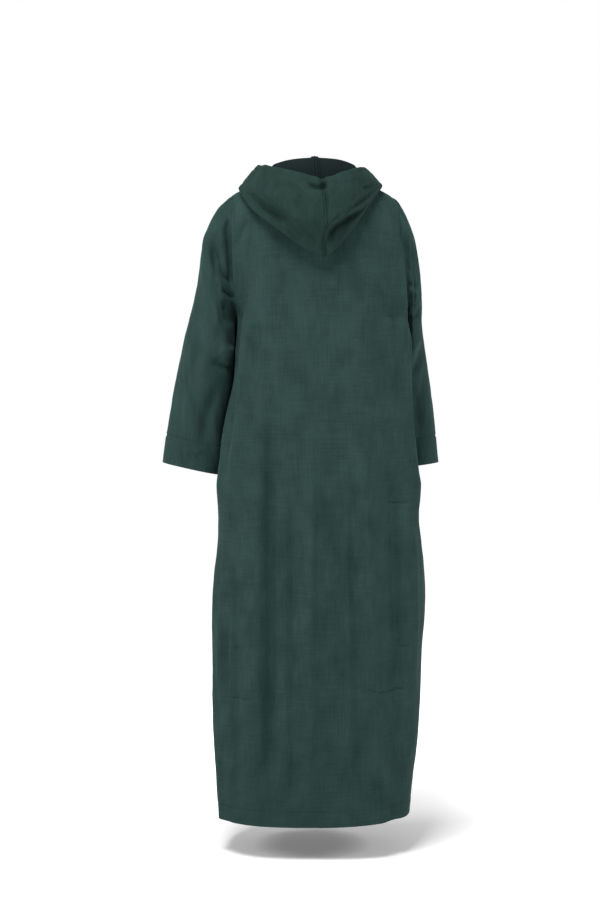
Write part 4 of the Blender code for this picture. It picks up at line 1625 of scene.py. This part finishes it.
RIGHT_SLEEVE = (
    Ring(-0.180, -0.027, -0.2025, -0.3045, 0.000, 0.062),
    Ring(-0.198, -0.058, -0.2060, -0.3110, -0.004, 0.065),
    Ring(-0.219, -0.104, -0.2075, -0.3270, -0.010, 0.067),
    Ring(-0.234, -0.165, -0.2085, -0.3480, -0.020, 0.068),
    Ring(-0.2430, -0.235, -0.2080, -0.3800, -0.034, 0.067),
    Ring(-0.2462, -0.305, -0.2020, -0.4200, -0.052, 0.065),
    Ring(-0.2564, -0.380, -0.1945, -0.4650, -0.076, 0.063),
    Ring(-0.2696, -0.455, -0.1910, -0.5130, -0.098, 0.062),
    Ring(-0.2793, -0.530, -0.1890, -0.5650, -0.114, 0.062),
    Ring(-0.2867, -0.592, -0.1890, -0.6120, -0.124, 0.063),
    Ring(-0.2906, -0.632, -0.1900, -0.6440, -0.128, 0.063),
)
LEFT_SLEEVE_FOLDS = (
    SleeveFold(0.10, 0.42, 55.0, 120.0, 16.0, -0.007),
    SleeveFold(0.22, 0.60, 95.0, 140.0, 18.0, 0.006),
    SleeveFold(0.62, 0.95, 100.0, 125.0, 20.0, -0.005),
    SleeveFold(0.15, 0.55, 290.0, 240.0, 18.0, -0.007),
)
RIGHT_SLEEVE_FOLDS = (
    SleeveFold(0.08, 0.40, 50.0, 100.0, 16.0, -0.007),
    SleeveFold(0.25, 0.60, 80.0, 60.0, 18.0, 0.005),
    SleeveFold(0.62, 0.92, 70.0, 85.0, 20.0, -0.005),
    SleeveFold(0.15, 0.55, 290.0, 240.0, 18.0, -0.007),
)
HOOD_LEFT = (
    Profile(0, 0.004, 0.082, 0.061, -0.0155, 0.15, -0.167, -0.0115, 0.182, 0.006, 0.026, 0.18, 0.5),
    Profile(0.14, 0.032, 0.079, 0.06, 0.036, 0.15, -0.138, 0.026, 0.176, 0.017, 0.028, 0.08, 0.3),
    Profile(0.28, 0.06, 0.066, 0.058, 0.088, 0.143, -0.1, 0.072, 0.158, 0.029, 0.026, 0.06, 0.25),
    Profile(0.4, 0.082, 0.042, 0.055, 0.141, 0.108, -0.057, 0.111, 0.118, 0.041, 0.013, 0.06, 0.25),
    Profile(0.5, 0.096, 0.01, 0.052, 0.172, 0.05, -0.01, 0.132, 0.062, 0.046, 0.002, 0.08, 0.3),
    Profile(0.62, 0.09, -0.03, 0.038, 0.154, -0.04, -0.01, 0.122, -0.004, 0.034, 0.002, 0.08, 0.3),
    Profile(0.75, 0.07, -0.07, 0.012, 0.118, -0.104, -0.046, 0.102, -0.076, 0.009, 0.004, 0.1, 0.3),
    Profile(0.88, 0.047, -0.094, -0.026, 0.076, -0.126, -0.076, 0.068, -0.108, -0.032, 0.003, 0.12, 0.3),
    Profile(1, 0.027, -0.106, -0.058, 0.042, -0.132, -0.102, 0.04, -0.124, -0.07, 0.002, 0.12, 0.3),
)
HOOD_RIGHT = (
    Profile(0, 0.004, 0.082, 0.061, -0.0155, 0.15, -0.167, -0.0115, 0.182, 0.006, 0.026, 0.18, 0.5),
    Profile(0.14, -0.024, 0.079, 0.06, -0.048, 0.15, -0.138, -0.04, 0.176, 0.015, 0.03, 0.34, 0.85),
    Profile(0.28, -0.052, 0.066, 0.058, -0.08, 0.144, -0.1, -0.074, 0.158, 0.029, 0.028, 0.36, 0.85),
    Profile(0.4, -0.074, 0.042, 0.054, -0.114, 0.11, -0.05, -0.1, 0.118, 0.037, 0.017, 0.26, 0.7),
    Profile(0.5, -0.086, 0.01, 0.05, -0.145, 0.054, -0.005, -0.112, 0.062, 0.041, 0.002, 0.12, 0.4),
    Profile(0.62, -0.076, -0.03, 0.036, -0.134, -0.04, -0.01, -0.108, -0.004, 0.032, 0.002, 0.08, 0.3),
    Profile(0.75, -0.056, -0.07, 0.011, -0.104, -0.104, -0.046, -0.088, -0.076, 0.008, 0.004, 0.1, 0.3),
    Profile(0.88, -0.031, -0.094, -0.026, -0.06, -0.126, -0.076, -0.052, -0.108, -0.032, 0.003, 0.12, 0.3),
    Profile(1, -0.011, -0.106, -0.058, -0.026, -0.132, -0.102, -0.024, -0.124, -0.07, 0.002, 0.12, 0.3),
)

# Creases in millimetres, seen from the back or the front
BACK_CREASES = crease_table(
    ((133, -209, 156, -292, 166, -400, 178, -549, 212, -738), 12, 11.5, -0.45),
    ((150, -215, 172, -300, 182, -400, 194, -549, 224, -700), 9, -8.5, 0.3),
    ((118, -250, 136, -350, 146, -480, 158, -620), 14, -8.5, 0.2),
    ((-174, -40, -186, -110, -192, -180, -196, -249, -206, -438, -226, -656), 8, 9.5, 0.3, 0.2),
    ((-160, -110, -172, -200, -178, -300, -184, -400, -190, -560), 10, -8.5, -0.2),
    ((104, -440, 101, -930, 104, -1460), 14, -14, 0.3, 0.2),
    ((126, -560, 130, -900, 138, -1250), 16, 6.7, 0.1),
    ((56, -620, 52, -950, 55, -1460), 16, -6.7, -0.2, 0.2),
    ((10, -550, 11, -900, 12, -1460), 12, 11.5, 0.3, 0.2),
    ((-42, -520, -50, -850, -62, -1300), 16, -8, 0.2),
    ((-101, -549, -115, -727, -128, -1010, -148, -1460), 11, 13.5, 0.3, 0.2),
    ((-168, -571, -175, -927, -186, -1284), 11, -11.2, -0.25),
    ((-133, -482, -132, -560, -131, -638), 9, -6.7, 0.2),
    ((-80, -700, -86, -950, -100, -1460), 12, -6.7, 0.2, 0.2),
    ((144, -985, 153, -1040, 164, -1105), 6, 5.8, 0.2),
    ((176, -800, 182, -1000, 180, -1460), 13, -10, -0.2, 0.2),
    ((216, -920, 217, -1050, 216, -1187), 7, 10, 0.2),
    ((204, -930, 205, -1050, 204, -1200), 7, -9, 0.2),
    ((-214, -700, -222, -900, -222, -1200), 10, 8, 0.2),
    ((145, -72, 161, -87, 177, -121, 179, -160), 7.5, -9.5, 0.3),
    ((128, -95, 148, -112, 163, -150, 168, -190), 10, 5.3, 0.2),
    ((-30, -190, -90, -215, -150, -290), 16, -4.5, 0.2),
    ((-10, -205, -70, -245, -130, -330), 14, 3.7, 0.2),
    ((10, -195, 60, -215, 110, -290), 18, -3.7, 0.2),
    ((20, -330, 30, -450, 26, -600), 20, -3.3, 0.2),
    ((-144, -290, -175, -292, -205, -294), 3.5, -3.3, 0.3),
    ((-155, -714, -190, -714, -222, -714), 3, -2.6, 0.3),
    ((195, -1041, 177, -1041, 159, -1041), 3, -2.2, 0.3),
    ((213, -1154, 172, -1155, 130, -1154), 3, -2.4, 0.3),
    ((-97, -1134, -160, -1135, -230, -1134), 3, -2.4, 0.3),
    ((-188, -1039, -198, -1039, -208, -1039), 3.5, -2.4, 0.3),
)
FRONT_CREASES = crease_table(
    ((30, -110, 75, -180, 150, -280), 14, -5.6, 0.2),
    ((-14, -115, -62, -190, -150, -290), 14, -5.6, -0.2),
    ((45, -105, 98, -165, 160, -240), 12, 4.2, 0.2),
    ((-36, -110, -90, -175, -160, -250), 12, 4.2, -0.2),
    ((150, -260, 168, -400, 180, -560, 200, -720), 12, 7, -0.3),
    ((-170, -280, -186, -420, -196, -600), 13, 6.3, 0.3),
    ((112, -420, 116, -900, 122, -1460), 14, -8.4, 0.2, 0.2),
    ((44, -340, 50, -850, 56, -1460), 14, 6.3, 0.2, 0.2),
    ((4, -330, 0, -900, -2, -1460), 18, -4.9, 0.2, 0.2),
    ((-30, -520, -40, -950, -46, -1460), 14, 5.6, 0.2, 0.2),
    ((-82, -460, -92, -900, -100, -1460), 14, -7.7, 0.2, 0.2),
    ((-134, -640, -144, -1000, -150, -1400), 13, 6.3, 0.2),
    ((-180, -700, -190, -1000, -194, -1300), 12, -6.3, 0.2),
    ((168, -760, 176, -1000, 176, -1380), 13, -6.3, 0.2),
    ((190, -716, 120, -714, 60, -716), 3.6, -2.5, 0.3),
    ((-200, -1136, -110, -1134, -30, -1136), 3.6, -2.5, 0.3),
)
LEFT_SLEEVE_CREASES = crease_table(
    ((198, -62, 201.5, -92, 198, -120, 195, -150, 191, -228), 6.2, -11, -0.2, 0.15),
    ((226, -85, 219, -140, 206, -190), 13, -7, 0.0),
    ((240, -96, 234, -136, 225, -168, 207, -200, 188, -222), 7, -11, 0.3, 0.18),
    ((219, -80, 213, -130, 204, -180), 6, 5, 0.2),
    ((252, -80, 248, -140, 238, -188, 218, -216, 200, -226), 9, 6, 0.2, 0.25),
    ((216, -231, 206, -234, 194, -243, 182, -256), 4.8, -8.5, 0.35, 0.3),
    ((206, -252, 200, -280, 196, -320), 10, -11, 0.2),
    ((232, -240, 226, -290, 230, -350), 10, 6, 0.2),
    ((225, -366, 205, -369, 185, -376), 11, 8.8, 0.2),
    ((240, -390, 212, -404, 186, -404), 10, -9.6, 0.2),
    ((262, -240, 262, -330, 272, -430), 10, -6, 0.2),
    ((276, -290, 286, -380, 300, -470), 11, 5.6, 0.2),
    ((222, -440, 245, -520, 262, -600), 12, -7.2, 0.2),
    ((300, -430, 314, -520, 322, -600), 10, -5.6, 0.2),
    ((302, -592, 282, -600, 261, -606), 7.5, 4.8, 0.2),
)
RIGHT_SLEEVE_CREASES = crease_table(
    ((-197, -71, -219, -140, -229, -168), 7.5, 6.7, 0.2),
    ((-199, -80, -205, -130, -210, -170, -214, -212), 8.5, -8, 0.2, 0.25),
    ((-230, -110, -228, -160, -220, -206), 7, -5, 0.2),
    ((-200, -216, -212, -221, -224, -223, -236, -221), 5.5, -4.2, 0.2, 0.32),
    ((-204, -227, -216, -233, -230, -232), 6.5, 2.8, 0.2, 0.32),
    ((-211, -236, -214, -262, -215, -285), 8.5, -7.5, 0.2),
    ((-238, -228, -230, -256, -220, -280), 6, 7, 0.2),
    ((-246, -260, -234, -288, -216, -310), 7.5, -9, 0.2),
    ((-208, -270, -212, -340, -214, -400), 10, -8.3, 0.2),
    ((-240, -320, -226, -360, -206, -385), 10, 6.7, 0.2),
    ((-250, -350, -238, -400, -216, -430), 9, -7.5, 0.2),
    ((-222, -430, -234, -500, -240, -570), 11, -6.7, 0.2),
    ((-252, -430, -262, -500, -268, -570), 9, 5.3, 0.2),
)
SLEEVE_FRONT_CREASES = crease_table(
    ((262, -150, 236, -200, 200, -232), 8.5, -8.4, 0.2),
    ((268, -200, 240, -262, 205, -300), 9, -8.4, 0.2),
    ((266, -176, 238, -232, 202, -266), 8, 5.6, 0.2),
    ((240, -330, 262, -430, 280, -540), 12, -6.3, 0.2),
)
RIGHT_FRONT_CREASES = crease_table(
    ((-236, -140, -224, -190, -206, -222), 10, -4, 0.2),
    ((-244, -200, -230, -256, -210, -290), 11, -5, 0.2),
    ((-242, -170, -228, -222, -208, -256), 10, 3, 0.2),
    ((-214, -360, -226, -460, -240, -570), 12, -6.3, 0.2),
)
HOOD_CREASES = crease_table(
    ((156, -12, 135, -37, 111, -54, 78, -73, 42, -90), 9.5, -15, 0.3, 0.4),
    ((140, 10, 124, -10, 104, -26, 78, -38), 8, 8, 0.2, 0.25),
    ((66, -72, 46, -79, 20, -85, -10, -87), 12, 9.5, -0.2, 0.35),
    ((104, 6, 70, -10, 36, -18), 9, -5, 0.3),
    ((24, -4, -4, -12, -34, -4), 6.5, -12, 0.2, 0.3),
    ((-141, -18, -120, -50, -72, -78, -36, -103, -24, -130), 5.2, -8.5, -0.2, 0.15),
    ((-146, -18, -122, -46, -88, -68, -58, -86), 5.6, -7.5, -0.2, 0.2),
    ((-136, -6, -112, -36, -66, -63, -28, -88, -10, -110), 7.5, 8, 0.2, 0.15),
    ((-106, 16, -80, 0, -45, -14), 10, -6, -0.2),
    ((-128, 6, -114, -8, -98, -12), 6, -7.5, 0.2),
)

SHEEN = "#78a39b"
VELVET = VelvetFinish("dark_green_velvet", "#1a2b28", "#263b38", SHEEN)
# Painted shade: the hood is the same velvet as the body, drawn in darker colours
SHADED_HOOD_VELVET = VelvetFinish("dark_green_hood_velvet", "#152421", "#20332f", SHEEN, 0.10, patch=0.045)
# The reverse is flat and darker than the face, and its colour is darkened further by painted shade, as on
# the inside of the hood
SHADED_REVERSE = PlainFinish("flat_cloth_reverse", "#131d1e")
THREAD = PlainFinish("dark_green_thread", "#1c2b28", 0.60)

Part = BodyPanel | Sleeve | HoodHalf


@dataclass
class Thobe:
    """The whole garment: two body panels, two sleeves and the two halves of the hood."""

    form: BodyForm
    back: BodyPanel
    front: BodyPanel
    sleeves: tuple[Sleeve, ...]
    hood: tuple[HoodHalf, ...]
    velvet: VelvetFinish = VELVET
    shaded_hood_velvet: VelvetFinish = SHADED_HOOD_VELVET
    reverse: PlainFinish = SHADED_REVERSE
    thread: PlainFinish = THREAD
    made: dict[str, Material] = field(default_factory=dict)

    def place(self, part: Part, cloth: Cloth, slot: str, lines: list[Stitching], held: str) -> None:
        """Make a piece with its stitches, in place of the solids that it stands for.

        Args:
            part: The body panel, sleeve or hood half.
            cloth: Its cloth.
            slot: Name of the finish of its face.
            lines: Its lines of stitches.
            held: How the cloth is held; it is not used.
        """
        piece = make_shell(cloth, part.hem(cloth), (self.made[slot], self.made["reverse"]))
        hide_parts(*part.nodes)
        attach(piece, BODY)
        seams = [line.sew(self.made["thread"]) for line in lines]
        for seam in seams:
            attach(seam, BODY)
        LOG.info("%s: %d points, %d stitch lines", piece.name, cloth.points[:, :, 0].size, len(seams))

    def make(self) -> None:
        """Make every piece."""
        finishes = {"velvet": self.velvet, "velvet_hood": self.shaded_hood_velvet}
        finishes.update({"reverse": self.reverse, "thread": self.thread})
        self.made = {name: finish.material() for name, finish in finishes.items()}
        back = self.back.drape()
        front = self.front.drape()
        row = self.form.stitch_row()
        for panel, cloth in ((self.back, back), (self.front, front)):
            line = Stitching(panel.name + "_hem_stitches", cloth.points[row], cloth.normals()[row])
            self.place(panel, cloth, "velvet", [line], "draped")
        for sleeve in self.sleeves:
            self.make_sleeve(sleeve, sleeve.hang(back, front, self.form.underarm_row()))
        tree = panel_tree((back, front))
        halves = [half.fall(back, front, self.form, tree) for half in self.hood]
        middle = sum(cloth.points[:, 0] for cloth in halves) / len(halves)
        for half, cloth in zip(self.hood, halves):
            cloth.points[:, 0] = middle
            self.make_hood(half, cloth)

    def make_sleeve(self, sleeve: Sleeve, cloth: Cloth) -> None:
        """Make a sleeve, with the stitches round its cuff.

        Args:
            sleeve: The sleeve.
            cloth: Its cloth.
        """
        row = sleeve.stitch_row(cloth)
        path, normals = (np.vstack((grid[row], grid[row, :1])) for grid in (cloth.points, cloth.normals()))
        line = Stitching(sleeve.name + "_cuff_stitches", path, normals)
        self.place(sleeve, cloth, "velvet", [line], "hung")

    def make_hood(self, half: HoodHalf, cloth: Cloth) -> None:
        """Make half of the hood, with the stitches beside its centre seam and along its rim.

        Args:
            half: The half of the hood.
            cloth: Its cloth.
        """
        first = half.over_row()
        across = run(cloth.points, 1).mean(axis=0)
        column = int(np.argmin(np.abs(across - half.topstitch)))
        normals = cloth.normals()
        seam = Stitching(half.name + "_topstitch", cloth.points[first:, column], normals[first:, column])
        up = run(cloth.points, 0)
        row = int(np.argmin(np.abs((up[-1:] - up).mean(axis=1) - RIM_TURN)))
        rim = Stitching(half.name + "_rim_stitches", cloth.points[row], normals[row])
        self.place(half, cloth, "velvet_hood", [seam, rim], "folded")


def main() -> None:
    """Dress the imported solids, put up the studio and hand the scene over."""
    logging.basicConfig(level=logging.INFO, format="%(name)s: %(message)s")
    form = BodyForm(LEVELS)
    back_nodes, front_nodes, left_nodes, right_nodes = (
        tuple(f"{piece}_{part}" for part in parts.split())
        for piece, parts in (
            ("back", "skirt bodice_left bodice_right"),
            ("front", "skirt bodice_left bodice_right"),
            ("left_sleeve", "upper lower"),
            ("right_sleeve", "upper middle lower"),
        )
    )
    back_tables = (BACK_FOLDS, BACK_CREASES, "back_panel")
    front_tables = (FRONT_FOLDS, FRONT_CREASES, "front_panel")
    left_tables = (LEFT_SLEEVE, LEFT_SLEEVE_FOLDS, LEFT_SLEEVE_CREASES, SLEEVE_FRONT_CREASES)
    right_tables = (RIGHT_SLEEVE, RIGHT_SLEEVE_FOLDS, RIGHT_SLEEVE_CREASES, RIGHT_FRONT_CREASES)
    panel_flat = (0.62, 1.50)
    hood_flat = (0.33, 0.44)
    left_hood, right_hood = (
        (profiles, HOOD_CREASES, name, (name,), hood_flat)
        for profiles, name in ((HOOD_LEFT, "hood_left_half"), (HOOD_RIGHT, "hood_right_half"))
    )
    Thobe(
        form,
        BodyPanel(form, Side.BACK, *back_tables, back_nodes, panel_flat, 0.87),
        BodyPanel(form, Side.FRONT, *front_tables, front_nodes, panel_flat, 0.83, seed=2.0),
        (
            Sleeve(Half.LEFT, *left_tables, "left_sleeve", left_nodes, (0.42, 0.62), 0.20),
            Sleeve(Half.RIGHT, *right_tables, "right_sleeve", right_nodes, (0.38, 0.60), 0.17, seed=4.0),
        ),
        (
            HoodHalf(Half.LEFT, *left_hood, 0.115),
            HoodHalf(Half.RIGHT, *right_hood, 0.10, seed=6.0),
        ),
    ).make()
    Studio().build()


if __name__ == "__main__":
    main()
